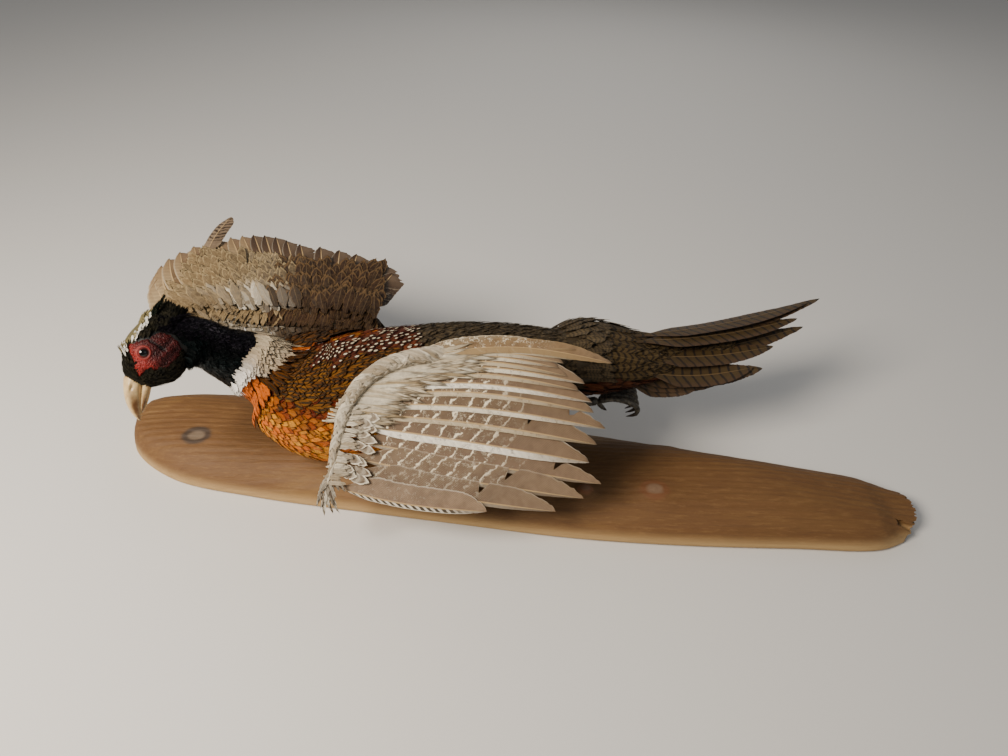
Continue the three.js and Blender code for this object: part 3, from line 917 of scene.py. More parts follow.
def outline_distance(outline, f, u):
    """How far inside a closed outline each place is. Outside it is below nought."""
    spots = np.stack([f, u], axis=-1)
    best = np.full(f.shape, np.inf)
    inside = np.zeros(f.shape, dtype=bool)
    for (x0, y0), (x1, y1) in zip(outline, np.roll(outline, -1, axis=0)):
        edge = np.array([x1 - x0, y1 - y0])
        off = spots - (x0, y0)
        share = np.clip(off @ edge / (edge @ edge), 0, 1)
        best = np.minimum(best, np.linalg.norm(off - share[..., None] * edge, axis=-1))
        inside ^= ((y0 > u) != (y1 > u)) & (f < (x1 - x0) * (u - y0) / (y1 - y0 + 1e-12) + x0)
    return np.where(inside, best, -best)


def rounded(outline):
    """The outline with its corners rounded."""
    for _ in range(2):
        after = np.roll(outline, -1, axis=0)
        outline = np.stack([mix(outline, after, 0.25), mix(outline, after, 0.75)],
                           axis=1).reshape(-1, 2)
    return outline


WATTLE_OUTLINE = rounded(WATTLE)


def body_colours(points):
    """The markings that the skin shares with the coat, place by place."""
    colours = np.tile(BELLY.grounds[0], (len(points), 1))
    t, turn, _ = TRUNK.locate(points)
    for tract in TRACTS:
        colours[tract.holds(t, turn)] = tract.coat.grounds.mean(axis=0) * 0.35
    t, _, out = NECK.locate(points)
    on_neck = (out < 1.15) & (t > 0.2)
    colours[on_neck] = NECK_PLUSH.grounds[0]
    colours[on_neck & (t < 0.38)] = COLLAR.grounds.mean(axis=0) * 0.5
    for form, coat in ((COVERTS, RUMP), (LEFT_ARM, COLLAR), (RIGHT_ARM, RUMP)):
        _, _, out = form.locate(points)
        colours[out < 1.05] = coat.grounds.mean(axis=0) * 0.4
    f, u, _ = head_places(points)
    _, _, out = HEAD.locate(points)
    colours[(out < 1.25) & (f > -40)] = rgb("020303")
    colours[(out < 1.1) & (u > crown_edge(f))] = CROWN.grounds[0] * 0.5
    return colours


def crown_edge(f):
    """How high above the bill's line the crown starts."""
    return np.interp(f, (-26, -6, 8, 20, 23, 24), (4.5, 8.6, 13.2, 16.5, 30, 40))


def skin_paint():
    paint = Paint("Bare skin", specular_ior_level=0.25, subsurface_weight=0.08,
                  subsurface_scale=0.002)
    cloud = paint.noise(900.0, detail=2.0)
    paint.set("Base Color", paint.mix(cloud.rise(0.35, 0.75) * 0.45, paint.attribute("Tint"),
                                      paint.attribute("Ink")))
    paint.set("Roughness", cloud * 0.3 + 0.38)
    paint.bump(cloud, 0.0005, 0.5)
    return paint.material


def wattle_level(side, f, u, tree):
    """How far out the head's skin lies at each place of one side, and where it was found."""
    aim = Vector(HEAD_LEFT * -side)
    level = np.full(f.size, np.nan)
    for i, start in enumerate(head_point(f, u, 40.0 * side).reshape(-1, 3) * MM):
        spot = tree.ray_cast(Vector(start), aim, 0.06)[0]
        if spot is not None:
            level[i] = head_places(np.array([spot]) / MM)[2][0] * side
    level = level.reshape(f.shape)
    found = np.isfinite(level)
    level = np.where(found, level, np.nanmean(level))
    for _ in range(4):
        level[1:-1, 1:-1] = (level[1:-1, 1:-1] * 2 + level[:-2, 1:-1] + level[2:, 1:-1]
                             + level[1:-1, :-2] + level[1:-1, 2:]) / 6
    return level, found


def grain_field(f, u):
    """How near each place lies to the middle of one of the skin's fine grains."""
    rng = np.random.default_rng(31)
    grains = rng.uniform((-15, -30), (37, 20), (2600, 2))
    spots = np.stack([f, u], axis=-1).reshape(-1, 2)
    nearest = np.concatenate([np.linalg.norm(some[:, None] - grains[None], axis=-1).min(axis=1)
                              for some in np.array_split(spots, 6)])
    return 1 - np.clip(nearest.reshape(f.shape) / 0.75, 0, 1) ** 2


def wattle_face(side, tree):
    """One side's bare red face: folds, grains and lids raised from the head's own surface."""
    f, u = np.meshgrid(np.arange(-14, 37, WATTLE_STEP), np.arange(-29, 20, WATTLE_STEP),
                       indexing="ij")
    inside = outline_distance(WATTLE_OUTLINE, f, u)
    inside = inside + 0.45 * np.sin(f * 0.9 + u * 0.5) * np.sin(u * 0.8 - f * 0.3)
    from_eye = np.hypot(f - EYE[0], u - EYE[1])
    grain = grain_field(f, u)
    lobes = 0.5 + 0.5 * np.sin(0.33 * f - 0.42 * u + 1.5 * np.sin(0.21 * u) + 0.8)
    crease = np.exp(-((f - 2.2 + 0.35 * (u + 6)) / 1.5) ** 2) * ease(-16, -9, u)
    crease = crease * (1 - ease(0, 4, u))
    lid = np.exp(-((from_eye - LID_RADIUS - 0.9) / 0.75) ** 2)
    rim = np.exp(-((from_eye - LID_RADIUS) / 0.5) ** 2)
    folds = 0.9 * lobes * ease(0, 5, inside) + 0.62 * grain - 1.5 * crease
    skin, found = wattle_level(side, f, u, tree)
    level = (skin + 2.0 * ease(-0.3, 3.2, inside) - 1.3 + ease(4.6, 8.5, from_eye) * folds
             + 1.0 * lid + 0.5 * rim - 1.8 * (1 - ease(LID_RADIUS - 1.6, LID_RADIUS, from_eye)))
    eye_cover = np.sqrt(np.clip(EYE_RADIUS ** 2 - from_eye ** 2, 0, None)) + EYE[2] + 0.25
    level = np.where(from_eye < LID_RADIUS + 0.8, np.maximum(level, eye_cover), level)
    points = head_point(f, u, level * side).reshape(-1, 3)
    good = found & (inside > -1.8) & (from_eye > LID_RADIUS - 1.3)
    faces = grid_faces(f.shape[0] - 1, f.shape[1] - 1, flip=side > 0)
    faces = faces[good.ravel()[faces].all(axis=1)]
    used, faces = np.unique(faces, return_inverse=True)
    pink, red, dark = tone("862019"), tone("360505"), tone("0c0102")
    front = ease(6, 20, f + u * 0.6)
    # Painted shade: shade darkens the troughs between the lobes and the crease, and the last dark
    # mix darkens the skin towards its outline, where it runs under the feathers.
    shade = np.clip(0.55 * (1 - lobes) * (1 - front) + 0.9 * crease, 0, 0.9)
    colour = mix(red, pink, (front * 0.75 + 0.15 * grain)[..., None])
    for share, over in ((shade, dark), (lid * 0.7, tone("963028")), (rim * 0.55, tone("2a0b0c")),
                        (1 - ease(-0.5, 1.6, inside), dark)):
        colour = mix(colour, over, share[..., None])
    return points[used], faces.reshape(-1, 4), colour.reshape(-1, 3)[used]


def grain_tree(material):
    """Geometry Nodes that strew small round grains over the bare face, and its size inputs."""
    group = bpy.data.node_groups.new("Wattle grains", "GeometryNodeTree")
    _, spacing, size = (
        group.interface.new_socket(name, in_out="INPUT", socket_type="NodeSocket" + kind)
        for name, kind in (("Face", "Geometry"), ("Spacing", "Float"), ("Grain size", "Float")))
    group.interface.new_socket("Grains", in_out="OUTPUT", socket_type="NodeSocketGeometry")
    tree = Tree(group)
    given = tree.node("NodeGroupInput")
    strew = tree.node("GeometryNodeDistributePointsOnFaces", {"distribute_method": "POISSON"},
                      {"Mesh": given.out("Face"), "Distance Min": given.out("Spacing"),
                       "Density Max": 4.0e6, "Seed": 33})
    ball = tree.node("GeometryNodeMeshIcoSphere", None, {"Radius": 1.0, "Subdivisions": 1})
    luck = tree.node("FunctionNodeRandomValue", {"data_type": "FLOAT"},
                     {"Min": 0.6, "Max": 1.3, "Seed": 34}).out("Value")
    balls = tree.node("GeometryNodeInstanceOnPoints", None,
                      {"Points": strew.out("Points"), "Instance": ball.out("Mesh"),
                       "Scale": luck * given.out("Grain size")})
    real = tree.node("GeometryNodeRealizeInstances", None, {"Geometry": balls.out("Instances")})
    painted = tree.node("GeometryNodeSetMaterial", None,
                        {"Geometry": real.out("Geometry"), "Material": material})
    tree.node("NodeGroupOutput", None, {"Grains": painted.out("Geometry")})
    return group, spacing.identifier, size.identifier


def bare_cells(points, cells):
    """The faces of the bare skin that lie clear of the lids and of the outline."""
    f, u, _ = head_places(points)
    clear = ((np.hypot(f - EYE[0], u - EYE[1]) > LID_RADIUS + 2.4)
             & (outline_distance(WATTLE_OUTLINE, f, u) > 1.0))
    return cells[clear[cells].all(axis=1)]


def face_grains(patches, plumage, material):
    """The small round grains that stand on both sides of the bare face."""
    points, faces = joined([(points, bare_cells(points, cells)) for points, cells, _ in patches])
    colours = np.vstack([colours for _, _, colours in patches])
    piece = make_object("wattle_grains", build_mesh(
        "wattle_grains", points, faces, material,
        colours={"Tint": colours * 1.25, "Ink": colours * WATTLE_INK}))
    group, spacing, size = grain_tree(material)
    grains = piece.modifiers.new("Grains", "NODES")
    grains.node_group = group
    grains[spacing], grains[size] = plumage.grain_gap, plumage.grain_size
    settle(piece)
    finish_piece(piece)


class PHEASANT_OT_skin(bpy.types.Operator):
    """Stretch one skin over the whole body, with the bare folds and lids of the face"""

    bl_idname = "pheasant.skin"
    bl_label = "Skin"

    def execute(self, context):
        plumage = context.scene.pheasant_plumage
        forms = joined([closed_loft(form, -form.depth) for form in FLESH])
        skin = make_object("body_skin", build_mesh("body_skin", *forms))
        remesh = skin.modifiers.new("Remesh", "REMESH")
        remesh.mode, remesh.voxel_size = "VOXEL", plumage.skin_grain
        soften = skin.modifiers.new("Soften", "SMOOTH")
        soften.factor, soften.iterations = 0.5, 4
        settle(skin)
        points = np.empty(len(skin.data.vertices) * 3)
        skin.data.vertices.foreach_get("co", points)
        points = points.reshape(-1, 3) / MM
        faces = np.empty(len(skin.data.polygons) * 4, dtype=int)
        skin.data.loops.foreach_get("vertex_index", faces)
        colours = body_colours(points)
        tree = BVHTree.FromObject(skin, context.evaluated_depsgraph_get())
        patches = [wattle_face(side, tree) for side in (1, -1)]
        shape = joined([(points, faces.reshape(-1, 4))] + [patch[:2] for patch in patches])
        tints = np.vstack([colours] + [patch[2] for patch in patches])
        inks = np.vstack([colours * 0.5] + [patch[2] * WATTLE_INK for patch in patches])
        paint = skin_paint()
        skin.data = build_mesh("body_skin", *shape, paint, colours={"Tint": tints, "Ink": inks})
        finish_piece(skin, FLESH_NODES)
        face_grains(patches, plumage, paint)
        return {"FINISHED"}


# ======================================================================
# Body, neck and head feathers
# ======================================================================
class PHEASANT_OT_body_coat(bpy.types.Operator):
    """Lay the feathers of the breast, back, flanks and belly"""

    bl_idname = "pheasant.body_coat"
    bl_label = "Body feathers"

    def execute(self, context):
        gap = context.scene.pheasant_plumage.body_gap / MM
        p, q = roots(TRUNK, (0.0, 1.0), gap, 11, NECK, COVERTS)
        rng = np.random.default_rng(12)
        loose_p, loose_q = p + rng.normal(0, 0.008, len(p)), q + rng.normal(0, 0.07, len(p))
        glossy = vane_paint("Copper body feathers", 0.42, metallic=0.1)
        plain = vane_paint("Soft body feathers", 0.65)
        for i, tract in enumerate(TRACTS):
            mine = tract.holds(loose_p, loose_q)
            tint = None
            if tract.coat is BREAST:
                low = tract.apart(q[mine]) + rng.normal(0, 8, mine.sum())
                luck = rng.uniform(0, 1, (mine.sum(), 1))
                tint = mix(tone("6b2611"), mix(*BREAST.grounds, luck), ease(30, 74, low)[:, None])
            lay("coat_" + tract.name, TRUNK, p[mine], q[mine], 0.0, tract.coat,
                glossy if tract.coat in (BREAST, FLANK) else plain, 40 + i,
                base=-TRUNK.depth + 1, size=0.62 + 0.38 * ease(0, 0.3, p[mine]), clear=(NECK,),
                tint=tint)
        p, q = roots(SHOULDER, (0.0, 1.0), gap * 0.8, 14, TRUNK, RIGHT_ARM)
        shade = mix(tone("33200f"), tone("8a5416"), rng.uniform(0, 0.8, (len(p), 1)))
        lay("coat_shoulder", SHOULDER, p, q, 0.0, MANTLE, plain, 52, base=-1.6,
            tint=shade, clear=(TRUNK,))
        for side, form in THIGHS.items():
            p, q = roots(form, (0.0, 1.0), gap * 0.8, 13, TRUNK)
            lay("coat_leg_" + side, form, p, q, 0.0, BELLY, plain, 51, base=-2.6,
                size=0.7, clear=(TRUNK,))
        return {"FINISHED"}


COLLAR_GAP = 3.2


def collar_border(q):
    """The share along the neck where the black ends and the collar starts."""
    return 0.27 + 0.07 * np.exp(-((np.degrees(q) - 75) / 45) ** 2)


class PHEASANT_OT_neck_coat(bpy.types.Operator):
    """Lay the glossy neck, its white collar and the feathers of the head"""

    bl_idname = "pheasant.neck_coat"
    bl_label = "Neck and head feathers"

    def execute(self, context):
        plumage = context.scene.pheasant_plumage
        gloss = vane_paint("Glossy neck", 0.34, metallic=0.7, barb_count=12, shaft_tone="0a1014")
        rng = np.random.default_rng(21)
        self.lay_neck(plumage.neck_gap / MM, gloss, rng)
        self.lay_neck_base(plumage.body_gap * 0.9 / MM, rng)
        self.lay_collar(rng)
        self.lay_head(plumage.head_gap / MM, rng)
        self.lay_tufts(gloss)
        return {"FINISHED"}

    def lay_neck(self, gap, paint, rng):
        p, q = roots(NECK, (0.3, 1.0), gap, 22, TRUNK)
        f, u, left = head_places(NECK.at(p, q))
        face = (outline_distance(WATTLE_OUTLINE, f, u) > -0.3) & (np.abs(left) > 4)
        near_head = HEAD.locate(NECK.at(p, q))[2]
        keep = (p > collar_border(q) + 0.05) & (near_head > 0.7) & ~face
        p, q, near_head = p[keep], q[keep], near_head[keep]
        join = 1.2 * (1 - ease(0.9, 1.2, near_head))
        # Painted sheen: the black neck feathers get dark green tints underneath that turn purple
        # over the top.
        above = ease(-0.2, 0.8, np.cos(q + 0.4)) + rng.normal(0, 0.18, len(p))
        tint = graded(*rgbs("050f10", "05090a", "08060c", "0e0812"))(above)
        jaw = 4.5 * np.exp(-((p - 0.72) / 0.12) ** 2) * ease(-0.2, 0.6, -np.cos(q + 0.6))
        lay("coat_neck", NECK, p, q, math.pi, NECK_PLUSH, paint, 23,
            base=-2.6 + 0.6 * jaw + join, tint=tint, rows=6, columns=4, clear=(TRUNK, HEAD),
            margin=0.8, rise=NECK_PLUSH.rise + 0.5 * jaw + join)

    def lay_neck_base(self, gap, rng):
        paint = vane_paint("Neck base", 0.45, metallic=0.15)
        p, q = roots(NECK, (0.0, 0.31), gap, 20, TRUNK)
        below = p < collar_border(q) - 0.06
        p, q = p[below], q[below]
        top = np.cos(q - 0.4) > 0.74
        for title, coat, mine in (("nape", MANTLE, top), ("throat", BREAST, ~top)):
            tint = mix(coat.grounds[0] * 0.7, coat.grounds[0], rng.uniform(0, 1, (mine.sum(), 1)))
            lay("coat_" + title, NECK, p[mine], q[mine], math.pi, coat, paint, 19,
                base=-2.0, size=0.62, tint=tint, clear=(TRUNK,), margin=1.2)

    def lay_collar(self, rng):
        paint = vane_paint("Collar", 0.8, barb_count=12)
        p, q = scatter(NECK, (0.1, 0.38), COLLAR_GAP, 24)
        under = ease(-0.3, 0.85, -np.cos(q + 0.5))
        border = collar_border(q)
        keep = (p < border + 0.02) & (p > border - mix(0.1, 0.02, under))
        p, q, under = p[keep], q[keep], under[keep][:, None]
        # The collar's cream-tan over the top is partly the tufts' own cream and partly painted
        # shade; it turns white underneath.
        tint = mix(mix(*COLLAR.grounds, rng.uniform(0, 1, (len(p), 1))), tone("fbf8f2"),
                   under ** 0.7)
        lay("coat_collar", NECK, p, q, math.pi, COLLAR, paint, 25, base=-1.4,
            tint=tint, marks=np.array(COLLAR.marks) * (1 - under),
            size=mix(0.5, 0.42, under[:, 0]), rows=9, clear=(TRUNK,), margin=2.2)

    def lay_head(self, gap, rng):
        paint = vane_paint("Head feathers", 0.7, barb_count=8, shaft_tone="0a0c0c", gloss=0.1)
        p, q = scatter(HEAD, (0.0, 0.97), gap, 26)
        near_neck = NECK.locate(HEAD.at(p, q))[2]
        f, u, left = head_places(HEAD.at(p, q))
        bare = (outline_distance(WATTLE_OUTLINE, f, u) > 0.6) & (np.abs(left) > 5)
        p, q, f, u, near_neck = (values[(near_neck > 0.74) & ~bare]
                                 for values in (p, q, f, u, near_neck))
        join = 1.0 * (1 - ease(0.9, 1.2, near_neck))
        over = u - crown_edge(f)
        throat = ease(10, 26, -u) * ease(-10, 8, f)
        crown = over > 0
        fleck = (np.abs(over - 0.8) < 1.9) & (rng.uniform(0, 1, len(p)) < 0.75)
        tint = np.tile(rgb("030404"), (len(p), 1))
        tint[crown] = mix(*CROWN.grounds, rng.uniform(0, 1, (crown.sum(), 1)))
        tint[fleck] = rgb("f2efe4")
        lay("coat_head", HEAD, p, q, math.pi, CROWN, paint, 27, base=-1.0 + join,
            tint=tint, marks=(0, 0, 0, 0), rows=5, columns=3, size=mix(1, 1.5, throat),
            rise=mix(1.6, 2.4, throat) + join)

    def lay_tufts(self, paint):
        """The two small ear tufts behind the face."""
        thick = graded(3.6, 3.4, 2.0)
        for side, name in ((1, "left"), (-1, "right")):
            line = path(*(head_point(f, u, out * side) for f, u, out in
                          ((-18, 4, 8.5), (-27, 3.6, 10.5), (-35, 1.5, 11.5))))
            tuft = Loft(line, HEAD_UP, thick, thick, depth=1)
            p, q = scatter(tuft, (0.0, 1.0), 1.5, 28)
            lay("coat_ear_" + name, tuft, p, q, 0.0, CROWN, paint, 29, base=-2.4,
                tint=np.tile(rgb("0c1d18"), (len(p), 1)), marks=(0, 0, 0, 0), size=1.1, rows=5,
                columns=3)


# ======================================================================
# Face: eyes and bill
# ======================================================================
def glass_paint():
    paint = Paint("Glass eye", roughness=0.03, ior=1.5, specular_ior_level=0.4, coat_weight=0.3,
                  coat_roughness=0.02)
    off = paint.number("Ring")
    iris = paint.mix(paint.noise(1600.0), "220b06", "40190c")
    pupil = paint.mix(off.rise(0.66, 0.71), "020101", iris)
    paint.set("Base Color", paint.mix(off.rise(0.86, 0.97), pupil, "120504"))
    return paint.material


def horn_paint():
    paint = Paint("Bill horn", roughness=0.38, subsurface_weight=0.05, subsurface_scale=0.002)
    along, around = paint.number("Along"), paint.number("Around")
    streak = paint.noise(240.0, detail=4.0)
    brown = around.rise(0.25, 0.6) * (1 - around.rise(0.75, 1.0)) * along.rise(0.15, 0.6)
    paint.set("Base Color", paint.layers(
        "d2b685", (streak.rise(0.3, 0.8) * 0.5, "a57e49"), (brown * (streak * 0.7 + 0.6), "553616"),
        ((1 - along.rise(0.0, 0.14)) * 0.5, "8e6a48")))
    paint.bump((along * 60 + streak * 2).wave() * 0.15 + streak, 0.0004, 0.5)
    return paint.material


def bill_form(line, wide, high):
    return Loft(path(*(head_point(f, u) for f, u in line)), HEAD_UP, graded(*wide), graded(*high),
                depth=0)


UPPER_BILL = bill_form(
    ((30, 4.6), (38, 3.2), (46, 1.2), (54, -2.2), (60.5, -5.6), (66.2, -9.6)),
    (8.2, 7.4, 6.2, 4.6, 2.8, 0.8), (7.4, 7.2, 6.6, 5.6, 3.6, 1.0))
LOWER_BILL = bill_form(((28, -5.4), (38, -6.6), (47, -7.8), (55, -8.6), (59.5, -9.0)),
                       (7.6, 6.8, 5.2, 3.4, 1.4), (4.2, 3.9, 3.3, 2.2, 0.9))


def bill_half(half, form, material):
    """One half of the bill. The upper one has a keel, two nostrils and a lip."""
    rows, columns = 64, 48
    points, faces = closed_loft(form, 0.0, rows, columns)
    ring = np.arange(rows * columns + columns)
    along = np.append(ring // columns / rows, [0, 1])
    turn = np.append(ring % columns / columns * TURN, [0, 0])
    f, u, left = head_places(points)
    if half == "upper":
        keel = np.exp(-(np.minimum(turn, TURN - turn) / 0.45) ** 2)
        nostril = np.exp(-((f - 41) / 2.8) ** 2 - ((u - 4.0) / 1.0) ** 2)
        hood = np.exp(-((f - 40.5) / 4.2) ** 2 - ((u - 6.2) / 1.4) ** 2)
        lip = np.exp(-((np.abs(turn - math.pi) - 1.05) / 0.3) ** 2) * (1 - along)
        left = left - np.sign(left) * (1.7 * nostril - 0.9 * hood)
        left = left + np.sign(left) * 0.7 * lip
        u = u + 0.5 * keel * (1 - along)
    name = f"bill_{half}_horn"
    mesh = build_mesh(name, head_point(f, u, left), faces, material,
                      values={"Along": along, "Around": np.abs(np.sin(turn / 2)) ** 1.2})
    outward(mesh)
    finish_piece(make_object(name, mesh), ("bill_" + half,))


def glass_eye(name, side, material):
    """A glass ball with a slight bulge over its pupil."""
    rows, columns = 40, 48
    polar = np.linspace(0.0, math.pi, rows + 1)[:, None]
    around = (np.arange(columns) / columns * TURN)[None]
    polar, around = np.broadcast_arrays(polar, around)
    bulge = 1 + 0.03 * np.exp(-(polar / 0.5) ** 2)
    off = EYE_RADIUS * np.sin(polar)
    points = head_point(EYE[0] + off * np.cos(around), EYE[1] + off * np.sin(around),
                        (EYE[2] + EYE_RADIUS * np.cos(polar) * bulge) * side)
    ring = EYE_RADIUS / LID_RADIUS * np.sin(np.minimum(polar, math.pi / 2))
    mesh = build_mesh(name + "_glass", points.reshape(-1, 3),
                      grid_faces(rows, columns, closed=True), material,
                      values={"Ring": np.clip(ring.ravel(), 0, 1.2)})
    outward(mesh)
    finish_piece(make_object(name + "_glass", mesh), (name,))


class PHEASANT_OT_face(bpy.types.Operator):
    """Set the glass eyes and the bill"""

    bl_idname = "pheasant.face"
    bl_label = "Eyes and bill"

    def execute(self, context):
        glass, horn = glass_paint(), horn_paint()
        glass_eye("eye_left", 1, glass)
        glass_eye("eye_right", -1, glass)
        bill_half("upper", UPPER_BILL, horn)
        bill_half("lower", LOWER_BILL, horn)
        return {"FINISHED"}


# ======================================================================
# Quills: the long feathers of the wings and tail
# ======================================================================
class Quill:
    """A long feather: root, tip, sideways bow, vane widths, height, tilt and markings.

    The four marking weights are of a barred edge, cross-bars, a pale outer vane and flecks.
    """

    def __init__(self, root, tip, bow=0.0, outer=7.0, inner=15.0, level=0.0, tilt=0.0,
                 tone="8d7a66", pale="cfc2ac", marks=(0.5, 0.5, 0.5, 0.2), splits=(), sharp=0.3,
                 droop=0.0):
        self.root, self.tip = np.array(root, float), np.array(tip, float)
        self.bow, self.outer, self.inner, self.level, self.tilt = bow, outer, inner, level, tilt
        self.tone, self.pale, self.marks, self.splits = rgb(tone), rgb(pale), marks, splits
        self.sharp, self.droop = sharp, droop


def quill_mesh(name, quills, place, material, seed, rows=64, columns=14):
    """Every quill's two vanes and its shaft, as one mesh. place turns (a, b, lift) into points."""
    rng = np.random.default_rng(seed)
    v = np.linspace(0, 1, rows + 1)[:, None]
    u = np.linspace(-1, 1, columns + 1)[None]
    flat = np.stack(np.broadcast_arrays((u + 1) / 2, v), axis=-1).reshape(-1, 2)
    repeated = lambda row: np.tile(row, (len(flat), 1))
    outer_side = u < 0
    open_out = mix(0.12, 1, ease(0.02, 0.22, v))
    parts = []
    for index, quill in enumerate(quills):
        chord = quill.tip - quill.root
        length = np.linalg.norm(chord)
        ahead = chord / length
        close = (1 - np.clip((v - 1 + quill.sharp) / quill.sharp, 0, 1) ** 1.8) ** 0.72
        half = np.where(outer_side, quill.outer, quill.inner) * open_out * close
        notch = np.ones_like(half)
        for where, depth, side in quill.splits:
            gap = np.clip(1 - np.abs(v - where) / 0.018, 0, 1)
            notch = notch - depth * gap * (u * side > 0.2) * np.abs(u)
        fray = rng.uniform(0, 1, (rows + 1, 1)) * 0.05
        fray = fray + rng.uniform(0, 1, (rows + 1, 1)) * 0.2 * ease(0.75, 1, v)
        half = half * notch * (1 - fray * np.abs(u) ** 3)
        sweep = np.abs(u) * half * np.where(outer_side, 0.9, 0.55)
        x = v * (length - 4) + sweep * (1 - 0.35 * v)
        y = quill.bow * np.sin(np.pi * v ** 0.9) + u * half
        shaft = np.exp(-(u / 0.09) ** 2)
        lift = (quill.level + quill.tilt * u * ease(0.0, 0.3, v) - 1.1 * u * u * close
                - quill.droop * v * v + 0.5 * shaft * (1 - 0.7 * v)
                + 0.25 * np.sin(v * 9 + index) * u)
        a = quill.root[0] + ahead[0] * x - ahead[1] * y
        b = quill.root[1] + ahead[1] * x + ahead[0] * y
        strip = np.stack([(index + 0.05 + 0.9 * flat[:, 0]) / len(quills), flat[:, 1]], axis=-1)
        parts.append((place(a, b, lift, index).reshape(-1, 3), flat, strip,
                      repeated(np.array(quill.tone) * rng.uniform(0.92, 1.08)),
                      repeated(quill.pale), repeated(quill.marks),
                      repeated([rng.uniform(), length / 100])))
    points, vane, strips, tints, pales, marks, lucks = (np.vstack(part) for part in zip(*parts))
    return build_mesh(name, points, grid_faces(rows, columns, len(quills)), material,
                      uvs={"Vane": vane, "OFBake": strips},
                      colours={"Tint": tints, "Pale": pales, "Marks": marks},
                      values={"Luck": lucks[:, 0], "Span": lucks[:, 1]})


def quill_paint(name, pitch, bar_code, slant=2.6, bold=False):
    """Flight feathers: pale barred outer vanes, plainer inner vanes with cross-bars, tan shafts."""
    paint = Paint(name, roughness=0.55, specular_ior_level=0.25)
    u, v = paint.vane()
    side = u * 2 - 1
    aside = abs(side)
    ladder, bars, paleness, fleck = paint.marks()
    tint, pale = paint.attribute("Tint"), paint.attribute("Pale")
    run = v * paint.number("Span") * 100
    wobble = paint.noise(210.0, detail=3.0)
    wander = paint.noise(90.0, detail=2.0)
    grit = paint.noise(900.0, detail=3.0, roughness=0.7)
    beat = (run - aside * slant + wobble * 8 + wander * 10) / pitch + paint.number("Luck")
    wave = (beat * TURN).wave()
    if bold:
        cross, near = wave.rise(-0.1, 0.5), v.rise(0.2, 0.4)
    else:
        cross = wave.rise(0.84, 0.97) * (wobble + grit * 0.3).rise(0.52, 0.66)
        near = v.rise(0.06, 0.16) * (1 - v.rise(0.5, 0.74))
    rung = ((run + side * 2 + wobble * 2.5) / 6.8 * TURN).wave().rise(-0.1, 0.35)
    worn = (grit + wobble * 1.4).rise(0.8, 1.2) * 0.6 + 0.4
    inner_vane = paint.layers(
        tint, ((wobble + wander - 0.75) * 1.1, "4e3b2a"), (v.rise(0.55, 1.0) * 0.35, "9c8266"),
        (bars * cross * near, bar_code),
        (fleck * (grit * wobble * 4).rise(1.1, 1.4) * near, bar_code))
    outer_vane = paint.layers(
        tint, (paleness * worn * (1 - v.rise(0.6, 0.95) * 0.7), pale),
        (ladder * (1 - rung) * (1 - v.rise(0.75, 0.95)), "4c4032"),
        (ladder * aside.rise(0.75, 0.95), "efe6d0"),
        (bars * cross * near * (1 - paleness), bar_code))
    shaft = 1 - aside.rise(0.035, 0.075)
    paint.set("Base Color", paint.layers(
        inner_vane, (1 - side.rise(-0.03, 0.03), outer_vane), (aside.rise(0.9, 1.0) * 0.35, pale),
        (shaft * 0.8, "c9a878")))
    barbs = ((run - aside * 7) * 3.2).wave()
    paint.bump(barbs * 0.45 + shaft * 2 + grit * 0.5, QUILL_BARB_HEIGHT, 0.7)
    return paint.material


